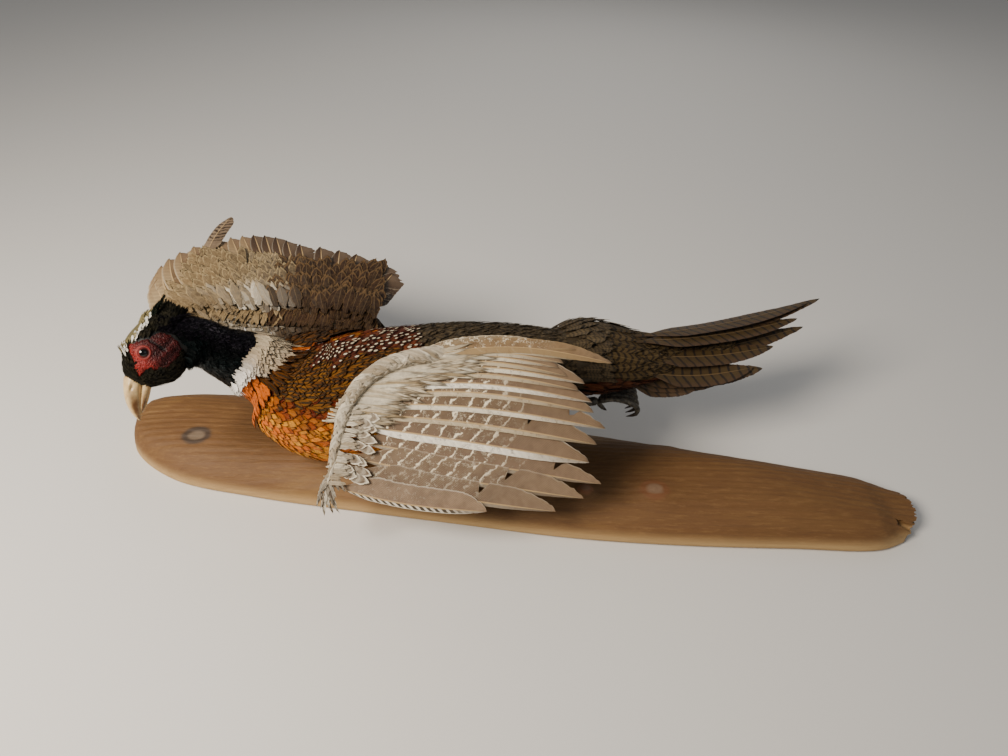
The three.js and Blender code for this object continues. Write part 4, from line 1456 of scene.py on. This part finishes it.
LEFT_QUILLS = (
    # the outer four, each over the next one in
    Quill((6, -6), (143, -24), -5, 4.5, 19, 1.6, 1.0, "89725b", "f8efdc", (1, 0, 0.9, 0.15),
          sharp=0.3),
    Quill((9, 8), (203, -23), -4, 3.6, 19, 0.8, 1.0, "79644e", "cdbfa9", (0, 0.25, 0.5, 0.2),
          ((0.62, 0.8, 1),), sharp=0.3),
    Quill((11, 22), (227, -11), -2, 3.6, 19, 0.2, 1.0, "75604a", "c6b7a0", (0, 0.8, 0.5, 0.3),
          ((0.66, 0.9, 1),), sharp=0.3),
    Quill((13, 36), (242, 2), 0, 4, 19, -0.6, 1.0, "735d48", "cdbfa8", (0, 1, 0.7, 0.3),
          ((0.8, 0.8, 1),), sharp=0.34),
    # the inner ones, each over the next one out
    Quill((15, 49), (230, 22), 2, 6, 19, 1.4, -1.2, "735d48", "fff6e4", (0.1, 1, 1, 0.2),
          sharp=0.3),
    Quill((17, 57), (236, 38), 6, 3.6, 19, 1.4, -1.2, "705b45", "d9c8a8", (0, 1, 0.75, 0.3),
          ((0.7, 0.9, 1),), sharp=0.34),
    Quill((19, 64), (243, 52), 9, 4, 18, 1.5, -1.2, "6f5a44", "f6ebd4", (0, 1, 0.9, 0.3),
          ((0.85, 0.9, 1),), sharp=0.36),
    Quill((22, 70), (232, 66), 12, 3.6, 18, 1.6, -1.2, "705c47", "dccbac", (0, 1, 0.8, 0.3),
          sharp=0.34),
    Quill((26, 75), (230, 75), 13, 4.2, 17, 1.8, -1.2, "735d48", "fff6e4", (0.1, 1, 1, 0.4),
          ((0.75, 0.8, 1),), sharp=0.36),
    Quill((32, 80), (218, 85), 14, 3.4, 17, 2.0, -1.2, "745f4a", "d9c8a8", (0, 0.9, 0.8, 0.4),
          sharp=0.34),
    Quill((38, 85), (223, 91), 14, 3.8, 16, 2.2, -1.2, "75614b", "f6ebd4", (0, 0.9, 0.9, 0.4),
          sharp=0.36),
    Quill((44, 89), (208, 97), 14, 3.2, 16, 2.4, -1.2, "77634d", "d9c8a8", (0, 0.8, 0.8, 0.5),
          sharp=0.34),
    Quill((52, 93), (200, 104), 13, 3.4, 15, 2.6, -1.2, "7a654f", "f2e6cc", (0, 0.7, 0.9, 0.5),
          sharp=0.36),
    Quill((60, 98), (204, 108), 12, 3.2, 14, 2.8, -1.2, "816d55", "ddcfb4", (0, 0.5, 0.8, 0.6),
          sharp=0.36),
    Quill((68, 102), (214, 111), 11, 3, 12, 3.0, -1.2, "8a775c", "ddcfb4", (0, 0.3, 0.7, 0.8),
          sharp=0.4),
    Quill((78, 107), (246, 109), 12, 5, 8, 3.6, -1.2, "8a7050", "b8a074", (0, 0.1, 0.3, 0.6),
          sharp=0.3),
    Quill((86, 110), (214, 120), 5, 3, 5.5, 3.0, -1.0, "967c5a", "b8a074", (0, 0.1, 0.3, 0.6),
          sharp=0.4),
)

RIGHT_ROOTS = path((174, 4), (148, 4), (118, 8), (84, 4), (46, 8), (20, 14))
RIGHT_TIPS = path((226, 44), (240, 62), (244, 84), (238, 108), (220, 128), (200, 138), (180, 146),
                  (160, 149), (137, 143), (112, 128), (74, 121), (40, 112), (8, 98), (-4, 74))


def right_quills(count=22):
    """The far wing's quills, pale over its outer half and dark over its inner half."""
    quills = []
    for i in range(count):
        share = (i + 0.5) / count
        code, pale = ("84694a", "b9a27c") if share < 0.5 else ("35251a", "6a5038")
        quills.append(Quill(
            RIGHT_ROOTS(np.array(share)), RIGHT_TIPS(np.array(share)),
            bow=-22 * (1 - ease(0.1, 0.5, share)), outer=8, inner=17,
            level=mix(-0.5, 1.2, share), tilt=-1.2, tone=code, pale=pale,
            marks=(0.2, 0.6, 0.6, 0.3), sharp=0.22,
            splits=((0.7 + 0.2 * math.sin(i), 0.4, 1),)))
    return quills


RAISED_QUILLS = (Quill((197, 96), (201, 190), bow=-3, outer=8.5, inner=10, level=3.5, tilt=0,
                       tone="8f7a62", pale="8f7a62", marks=(0, 1, 0, 0), sharp=0.3, droop=-5),)


def flock_on_line(line, count, rows, step, loose, seed):
    """Roots in rows beside a line on a wing's sheet."""
    rng = np.random.default_rng(seed)
    share = (np.arange(count) + 0.5) / count
    spots = np.vstack([line(share) + np.array(step) * row + rng.normal(0, loose, (count, 2))
                       for row in range(rows)])
    return spots[:, 0], spots[:, 1]


def heading_field(quills):
    """The lie of a wing's small feathers: that of the nearest quill."""
    roots = np.array([quill.root for quill in quills])
    ways = np.array([quill.tip - quill.root for quill in quills])
    angles = np.arctan2(ways[:, 1], ways[:, 0])

    def at(a, b):
        spots = np.stack([a, b], axis=-1)
        share = np.array([0.05, 0.25, 0.45])[None, None, :, None]
        lines = roots[None, :, None] + ways[None, :, None] * share
        gap = np.linalg.norm(spots[:, None, None] - lines, axis=-1).min(axis=2)
        weight = 1 / (gap + 2) ** 3
        return (weight * angles).sum(axis=1) / weight.sum(axis=1)

    return at


CREAM_COVERT = Coat(("fff4da", "c3ab83"), "54412e", (0.6, 0, 0, 0.12), 50, 4.6, rise=0.5,
                    cup=0.2, fray=0.5)
# The lobed coverts' dark brown ground is painted shadow: these grey feathers lie in the shadow of
# the cream streak coverts.
LOBE_COVERT = Coat(("5e4d3e", "6e5c4b"), "fff3da", (0.8, 0, 0, 0.2), 20, 9, rise=1.6, fray=0.3)
ARM_COVERT = Coat(("f6ead2", "b8a588"), "736552", (0.12, 0.3, 0, 0), 24, 6.5, rise=1.2, cup=0.16,
                  fray=0.5)
SCALY_COVERT = Coat(("2e1e14", "2c180f"), "735838", (0.7, 0.0, 0, 0), 36, 12, rise=2.2, fray=0.3)
PALE_COVERT = Coat(("7b6546", "8c7556"), "bfa67b", (0.5, 0.0, 0, 0.1), 42, 9.5, rise=2.2,
                   fray=0.35)
WISP = Coat(("fff3da", "5e4d3e"), "352a20", (0.3, 0.3, 0, 0), 19, 3.4, rise=2.0, fray=0.7)
ARM_GAP = 4.6
COVERT_TONES = graded(*rgbs("6f5a3d", "66533a", "66543c", "655949", "3c3127", "23170f", "20110b",
                            "22120b", "1d110b"))


def by_tone(a, b, coat=None):
    """Splits a flock by look. One with no coat of its own runs from cream out to dark brown in."""
    if coat:
        return [("", coat, np.full(len(a), True), None)]
    rng = np.random.default_rng(69)
    share = np.clip((188 - a) / 182 + rng.normal(0, 0.05, len(a)), 0, 1)
    tint = COVERT_TONES(share) * rng.uniform(0.7, 1.25, (len(a), 1))
    # low is partly painted highlight and partly the coverts' own pale edges: cream mixed into some
    # coverts low on the far wing's middle.
    low = np.exp(-((share - 0.4) / 0.13) ** 2) * (1 - ease(-5, 24, b)) * rng.uniform(0, 1, len(a))
    tint = mix(tint, tone("efe6d4"), low[:, None])
    return [("_pale", PALE_COVERT, share < 0.5, tint[share < 0.5]),
            ("_dark", SCALY_COVERT, share >= 0.5, tint[share >= 0.5])]


def left_flocks(lie):
    """The near wing's flocks: name, coat, roots, headings, base, and size."""
    rows = (("streaks", CREAM_COVERT, path((18, 66), (34, 88), (62, 104), (98, 112)), 34, 6,
             (-4.2, -3.4), 1.2, 62, 0.0, 3.6, 1.0),
            ("lobes", LOBE_COVERT, path((8, 2), (11, 20), (16, 42), (22, 60)), 7, 2,
             (9, 0), 1.2, 63, -0.1, 3.4, 1.0),
            ("hand", ARM_COVERT, path((-2, -4), (3, 20), (9, 42), (16, 66)), 16, 2,
             (4, 0), 1.0, 64, 0.1, 5.0, 0.7))
    flocks = []
    for name, coat, line, count, deep, step, loose, seed, askew, base, size in rows:
        a, b = flock_on_line(line, count, deep, step, loose, seed)
        flocks.append((name, coat, a, b, lie(a, b) + askew, base, size))
    a, b = flock_on_line(path((3, 6), (-3, -4), (-5, -12)), 9, 3, (2.4, 0), 1.0, 65)
    spread = np.random.default_rng(60).normal(-1.45, 0.35, len(a))
    return flocks + [("wisps", WISP, a, b, spread, 4.0, 1.0)]


def right_flocks(lie):
    """The far wing's one flock, which by_tone splits."""
    line = path((188, 24), (160, 8), (126, 0), (104, 0), (66, -2), (12, 4))
    a, b = flock_on_line(line, 46, 5, (0.5, 15), 2.0, 66)
    return [("coverts", None, a, b, lie(a, b), 3.0, 1.0)]


def sheet_share(form, sheet, p, q):
    """Where roots on an arm's form lie on its wing's sheet."""
    off = form.at(p, q) - sheet.origin
    return off @ sheet.along, off @ sheet.across


def lay_quills(name, quills, sheet, paint, seed, nodes=()):
    """One piece of long feathers on a wing's sheet."""
    mesh = quill_mesh(name, quills, lambda a, b, lift, _: sheet.at(a, b, lift), paint, seed)
    if sheet.outward < 0:
        mesh.flip_normals()
    finish_piece(make_object(name, mesh), nodes)


def lay_arm(side, form, sheet, paint):
    """The small feathers all round a wing's arm."""
    p, q = roots(form, (0.0, 1.0), ARM_GAP, 80, TRUNK)
    over = np.cos(q) > -0.2
    if side == "left":
        heading, size, rise = np.where(over, -0.6, 0.6), 1.0, 1.2
        groups = by_tone(p, q, ARM_COVERT)
    else:
        heading, size, rise = np.where(over, 1.3, -1.3), 0.6, 2.5
        groups = by_tone(*sheet_share(form, sheet, p, q))
    for title, coat, mine, _ in groups:
        lay(f"wing_{side}_arm_coat{title}", form, p[mine], q[mine], heading[mine],
            coat, paint, 81, base=-2.4, size=size, rise=rise, clear=(TRUNK,), columns=4)


def lay_cover(sheet, lie, paint):
    """The rows that bridge the far wing's arm and its coverts."""
    a, b = flock_on_line(path((178, -30), (6, -32)), 56, 6, (0, 7.5), 1.8, 82)
    base = np.interp(b, (-32, -14, -4, 10), (0.0, 8.0, 15.0, 8.0))
    rise = np.interp(b, (-30, -8, 8), (7, 0, -5))
    for title, coat, mine, tint in by_tone(a, b):
        lay("wing_right_cover" + title, sheet, a[mine], b[mine],
            lie(a[mine], b[mine]), coat, paint, 83, base=base[mine], rise=rise[mine], rows=10,
            tint=tint)


class PHEASANT_OT_wing(bpy.types.Operator):
    """Set one wing's quills and lay its coverts"""

    bl_idname = "pheasant.wing"
    bl_label = "Wing"

    side: bpy.props.EnumProperty(
        name="Side", description="Which wing to build",
        items=(("left", "Left", "The wing on the side that the head turns to"),
               ("right", "Right", "The other wing")))

    def execute(self, context):
        name, arm_form, sheet, quills, flocks, pitch, bar_code = {
            "left": ("wing_left", LEFT_ARM, LEFT_SHEET, LEFT_QUILLS, left_flocks, 15.0, "f4e6c8"),
            "right": ("wing_right", RIGHT_ARM, RIGHT_SHEET, right_quills(), right_flocks, 11.0,
                      "c9b596")}[self.side]
        nodes = [f"{name}_{layer}" for layer in ("primaries", "secondaries", "coverts", "alula")]
        lay_quills(name + "_quills", quills, sheet,
                   quill_paint("Flight feathers " + self.side, pitch, bar_code), 61, nodes)
        lie = heading_field(quills)
        soft = vane_paint("Wing coverts " + self.side, 0.65, barb_count=20, bar_count=3.0)
        for flock, coat, a, b, heading, base, size in flocks(lie):
            for title, look, mine, tint in by_tone(a, b, coat):
                lay(f"{name}_{flock}{title}", sheet, a[mine], b[mine],
                    heading[mine], look, soft, 70 + len(flock), base=base, size=size, rows=12,
                    columns=8, tint=tint)
        lay_arm(self.side, arm_form, sheet, soft)
        if self.side == "right":
            lay_cover(sheet, lie, soft)
            lay_quills("wing_right_raised", RAISED_QUILLS, sheet,
                       quill_paint("Raised feather", 8.0, "3a2b1e", 1.2, bold=True), 84)
        return {"FINISHED"}


# ======================================================================
# Tail
# ======================================================================
TAIL_PLACES = (
    ((108, 27, 93), (204, 32, 92)), ((100, 30, 103), (246, 51, 100)),
    ((90, 36, 110), (296, 101, 116)), ((92, 46, 112), (317, 129, 132)),
    ((90, 57, 108), (252, 124, 108)), ((86, 67, 100), (198, 106, 95)))
TAIL_SLOPES = (-0.6, -0.5, -0.25, 0.1, 0.4, 0.6)
TAIL_TOP_PLACES = (((122, 22, 112), (238, 50, 102)), ((116, 33, 124), (262, 74, 110)),
                   ((112, 44, 131), (292, 106, 122)), ((114, 54, 131), (306, 124, 131)),
                   ((118, 64, 124), (262, 118, 118)))
TAIL_SAG = 7
TAIL_COVERT_GAP = 8.5


# Each long feather's place in the fan, in steps from its near edge, and how much it falls short
TAIL_ORDER = ((0.35, 0.28), (0.7, 0.15), (1, 0), (1.5, 0.3), (2, 0), (2.4, 0.3), (3, 0),
              (3.5, 0.35), (4, 0), (4.5, 0.2), (5, 0))


def tail_paint():
    paint = Paint("Barred tail", roughness=0.55)
    u, v = paint.vane()
    aside = abs(u * 2 - 1)
    run = v * paint.number("Span") * 100
    wobble = paint.noise(160.0, detail=3.0)
    grit = paint.noise(1100.0, detail=3.0, roughness=0.7)
    beat = (run + aside * 2 + wobble * 4) / 10.5 + paint.number("Luck") * 0.4
    bar = (beat * TURN).wave().rise(0.5, 0.88)
    # The tail's colours here are set about a quarter darker than the feathers' own: painted shade
    # for the shadow that lies over the tail.
    paint.set("Base Color", paint.layers(
        "4a3819", ((wobble - 0.2) * 0.9, "33240e"), (aside.rise(0.45, 0.9) * 0.7, "4c3522"),
        (grit.rise(0.45, 0.7) * 0.4, "3b2c15"), (bar * (1 - aside * 0.25), "140b05"),
        ((1 - aside.rise(0.03, 0.07)) * 0.7, "735a38")))
    barbs = ((run - aside * 9) * 3.0).wave()
    paint.bump(barbs * 0.35 + (1 - aside.rise(0.03, 0.08)) * 2 + grit * 0.5, QUILL_BARB_HEIGHT, 0.6)
    return paint.material


def tail_fan():
    """The tail's long feathers: the root, tip, slope, spare length, level and point of each."""
    starts, ends = (np.array([spot[i] for spot in TAIL_PLACES], float) for i in (0, 1))
    slopes = np.array(TAIL_SLOPES)
    for spot, shorter in TAIL_ORDER:
        i = min(int(spot), len(starts) - 2)
        root, end, slope = (mix(row[i], row[i + 1], spot - i) for row in (starts, ends, slopes))
        level = 2.0 * (1 - abs(spot - 3) / 3) - 0.6 * (spot != int(spot))
        yield root, mix(end, root, shorter), -slope, 3, level, 0.45
    for i, (root, tip) in enumerate(np.array(TAIL_TOP_PLACES, float)):
        yield root, tip, 0.5 - 0.25 * i, 0, 1.0 + 0.8 * (2 - abs(i - 2)), 0.5


class PHEASANT_OT_tail(bpy.types.Operator):
    """Set the tail's long feathers and lay the coverts at its root"""

    bl_idname = "pheasant.tail"
    bl_label = "Tail"

    def execute(self, context):
        quills, frames = [], []
        for root, tip, slope, spare, level, sharp in tail_fan():
            length = np.linalg.norm(tip - root)
            ahead = unit(tip - root)
            lean = unit(np.array([-ahead[1], ahead[0], slope]))
            frames.append((root, ahead, lean, unit(np.cross(ahead, lean)), length))
            quills.append(Quill((0, 0), (length + spare, 0), outer=12, inner=12, level=level,
                                sharp=sharp))

        def place(a, b, lift, index):
            root, ahead, lean, out, length = frames[index]
            sag = TAIL_SAG * np.sin(np.pi * np.clip(a / length, 0, 1))
            return (root + ahead * a[..., None] + lean * b[..., None] + out * lift[..., None]
                    - UPRIGHT * sag[..., None])

        mesh = quill_mesh("tail_quills", quills, place, tail_paint(), 90, rows=72)
        finish_piece(make_object("tail_quills", mesh), ("tail_feathers",))
        soft = vane_paint("Tail coverts", 0.6, barb_count=26, bar_count=7.0)
        p, q = roots(COVERTS, (0.0, 0.98), TAIL_COVERT_GAP, 91, TRUNK)
        above, hump = np.cos(q) > 0, p < 0.34
        for name, coat, mine, size in (
                ("rump", RUMP, above & hump, 1.2), ("upper", TAIL_TOP, above & ~hump, 1.0),
                ("under", VENT, ~above, 1.1)):
            lay("tail_coverts_" + name, COVERTS, p[mine], q[mine], 0.0, coat,
                soft, 92, base=-3.4, size=mix(0.8, 1.1, p[mine]) * size, rise=3.6, rows=10)
        return {"FINISHED"}


# ======================================================================
# Feet
# ======================================================================
def scale_paint():
    paint = Paint("Foot scales", roughness=0.5)
    cloud = paint.noise(300.0)
    paint.set("Base Color", paint.mix(cloud.rise(0.35, 0.7), "38342d", "6b6455"))
    paint.bump(cloud, 0.0004, 0.6)
    return paint.material


def claw_paint():
    paint = Paint("Claws", roughness=0.3)
    paint.set("Base Color", paint.mix(paint.noise(200.0), "1d1712", "4a3a2a"))
    return paint.material


def scaled_form(line, up, thick, rings, columns=20, cells=6):
    """A limb with a ring of overlapping plates for each step along it."""
    form = Loft(line, up, thick, thick, depth=0)
    points, faces = closed_loft(form, 0.0, rings * cells, columns)
    t = np.append(np.arange(len(points) - 2) // columns / (rings * cells), [0, 1])
    plate = (t * rings) % 1.0
    axis = form.spine(t)
    return axis + (points - axis) * (1 + 0.13 * plate * (1 - plate ** 6))[:, None], faces


def toe_parts(toe, scaled_end, thick, rings, claw_start, claw):
    """A toe's scaled part and its claw, out of one path."""
    scaled = path(*toe(np.linspace(0, scaled_end, len(thick))))
    horn = path(*toe(np.linspace(claw_start, 1, len(claw))))
    tapered = graded(*claw)
    return (scaled_form(scaled, SIDEWAYS, graded(*thick), rings),
            closed_loft(Loft(horn, SIDEWAYS, tapered, tapered, depth=0), 0, 16, 14))


def foot_parts(side):
    """The scaled parts of one clenched foot, and its claws."""
    y = 46 + 13 * side
    hock, ankle = (22, y - 13, 65), (84, y - 1, 66)
    shank = scaled_form(path(hock, (54, y - 7, 65), ankle), UPRIGHT, graded(5, 3.6, 4.6), 22)
    toes = [toe_parts(path(ankle, (100, y + 6 * k, 73), (119, y + 9 * k, 69),
                           (124, y + 8 * k, 57), (113, y + 6 * k, 50)),
                      0.8, (3.6, 2.7, 2.9, 2.4, 2.2), 20, 0.76, (2.0, 1.5, 0.4))
            for k in (-1, 0, 1)]
    toes.append(toe_parts(path(ankle, (87, y, 58), (94, y, 52)), 0.75, (2.8, 2.3, 2.0), 9, 0.7,
                          (1.8, 1.3, 0.4)))
    return [shank] + [toe for toe, _ in toes], [claw for _, claw in toes]


class PHEASANT_OT_feet(bpy.types.Operator):
    """Shape the clenched, scaly feet and their claws"""

    bl_idname = "pheasant.feet"
    bl_label = "Feet"

    def execute(self, context):
        paints = scale_paint(), claw_paint()
        for side, foot in ((-1, "foot_left"), (1, "foot_right")):
            for title, parts, paint, nodes in zip(("_scales", "_claws"), foot_parts(side), paints,
                                                  ((foot,), ())):
                mesh = build_mesh(foot + title, *joined(parts), paint)
                outward(mesh)
                finish_piece(make_object(mesh.name, mesh), nodes)
        return {"FINISHED"}


# ======================================================================
# Stage
# ======================================================================
def area_light(name, place, aim, size, power, colour):
    light = bpy.data.lights.new(name, "AREA")
    light.shape, light.size, light.energy, light.color = "DISK", size, power, colour
    lamp = make_object(name, light)
    lamp.location = place
    lamp.rotation_euler = (Vector(aim) - Vector(place)).to_track_quat("-Z", "Y").to_euler()


class PHEASANT_OT_stage(bpy.types.Operator):
    """Lay the plain floor, hang the soft lights and place the camera"""

    bl_idname = "pheasant.stage"
    bl_label = "Stage"

    def execute(self, context):
        mount = context.scene.pheasant_mount
        reach = 4000
        mesh = build_mesh("floor", [(-reach, -reach, 0), (reach, -reach, 0), (reach, reach, 0),
                                    (-reach, reach, 0)], [[0, 1, 2, 3]])
        paint = Paint("Plain floor", roughness=0.7)
        paint.set("Base Color", tuple(mount.floor_tone))
        mesh.materials.append(paint.material)
        make_object("floor", mesh)
        area_light("key", (-0.8, -0.55, 0.95), (-0.14, 0.0, 0.08), 0.6, mount.key_power,
                   (1.0, 0.91, 0.79))
        area_light("fill", (1.3, -0.6, 1.1), (0.1, 0.0, 0.08), 1.2, 2.2, (0.92, 0.96, 1.0))
        area_light("back", (0.2, 1.5, 1.2), (0.0, 0.0, 0.1), 1.4, 5.5, (1.0, 0.98, 0.95))
        world = bpy.data.worlds.new("Soft room")
        context.scene.world = world
        world.use_nodes = True
        backdrop = world.node_tree.nodes["Background"]
        backdrop.inputs["Color"].default_value = (0.8, 0.82, 0.85, 1.0)
        backdrop.inputs["Strength"].default_value = 0.24
        data = bpy.data.cameras.new("camera")
        data.lens, data.sensor_width, data.sensor_fit = CAMERA_LENS, SENSOR_WIDTH, "HORIZONTAL"
        data.clip_start = 0.01
        camera = make_object("camera", data)
        camera.matrix_world = (Matrix.Translation(CAMERA_AT)
                               @ Matrix.Rotation(CAMERA_PITCH, 4, "X")
                               @ Matrix.Rotation(CAMERA_ROLL, 4, "Z"))
        context.scene.camera = camera
        return {"FINISHED"}


# ======================================================================
# The add-on
# ======================================================================
class PHEASANT_PT_panel(bpy.types.Panel):
    """Every step of the mount, in order"""

    bl_idname = "PHEASANT_PT_panel"
    bl_label = "Mounted pheasant"
    bl_space_type = "VIEW_3D"
    bl_region_type = "UI"
    bl_category = "Pheasant"

    def draw(self, context):
        for group in (context.scene.pheasant_mount, context.scene.pheasant_plumage):
            for name in group.__annotations__:
                self.layout.prop(group, name)
        for step in STEPS:
            self.layout.operator(step.bl_idname)


STEPS = (PHEASANT_OT_stage, PHEASANT_OT_driftwood, PHEASANT_OT_skin, PHEASANT_OT_body_coat,
         PHEASANT_OT_neck_coat, PHEASANT_OT_face, PHEASANT_OT_wing, PHEASANT_OT_tail,
         PHEASANT_OT_feet)
CLASSES = (PheasantPlumage, PheasantMount) + STEPS + (PHEASANT_PT_panel,)


def register():
    for kind in CLASSES:
        bpy.utils.register_class(kind)
    bpy.types.Scene.pheasant_plumage = bpy.props.PointerProperty(type=PheasantPlumage)
    bpy.types.Scene.pheasant_mount = bpy.props.PointerProperty(type=PheasantMount)


def unregister():
    del bpy.types.Scene.pheasant_mount
    del bpy.types.Scene.pheasant_plumage
    for kind in reversed(CLASSES):
        bpy.utils.unregister_class(kind)


def main():
    register()
    bpy.ops.pheasant.stage()
    bpy.ops.pheasant.driftwood()
    bpy.ops.pheasant.skin()
    bpy.ops.pheasant.body_coat()
    bpy.ops.pheasant.neck_coat()
    bpy.ops.pheasant.face()
    bpy.ops.pheasant.wing(side="left")
    bpy.ops.pheasant.wing(side="right")
    bpy.ops.pheasant.tail()
    bpy.ops.pheasant.feet()


if __name__ == "__main__":
    main()
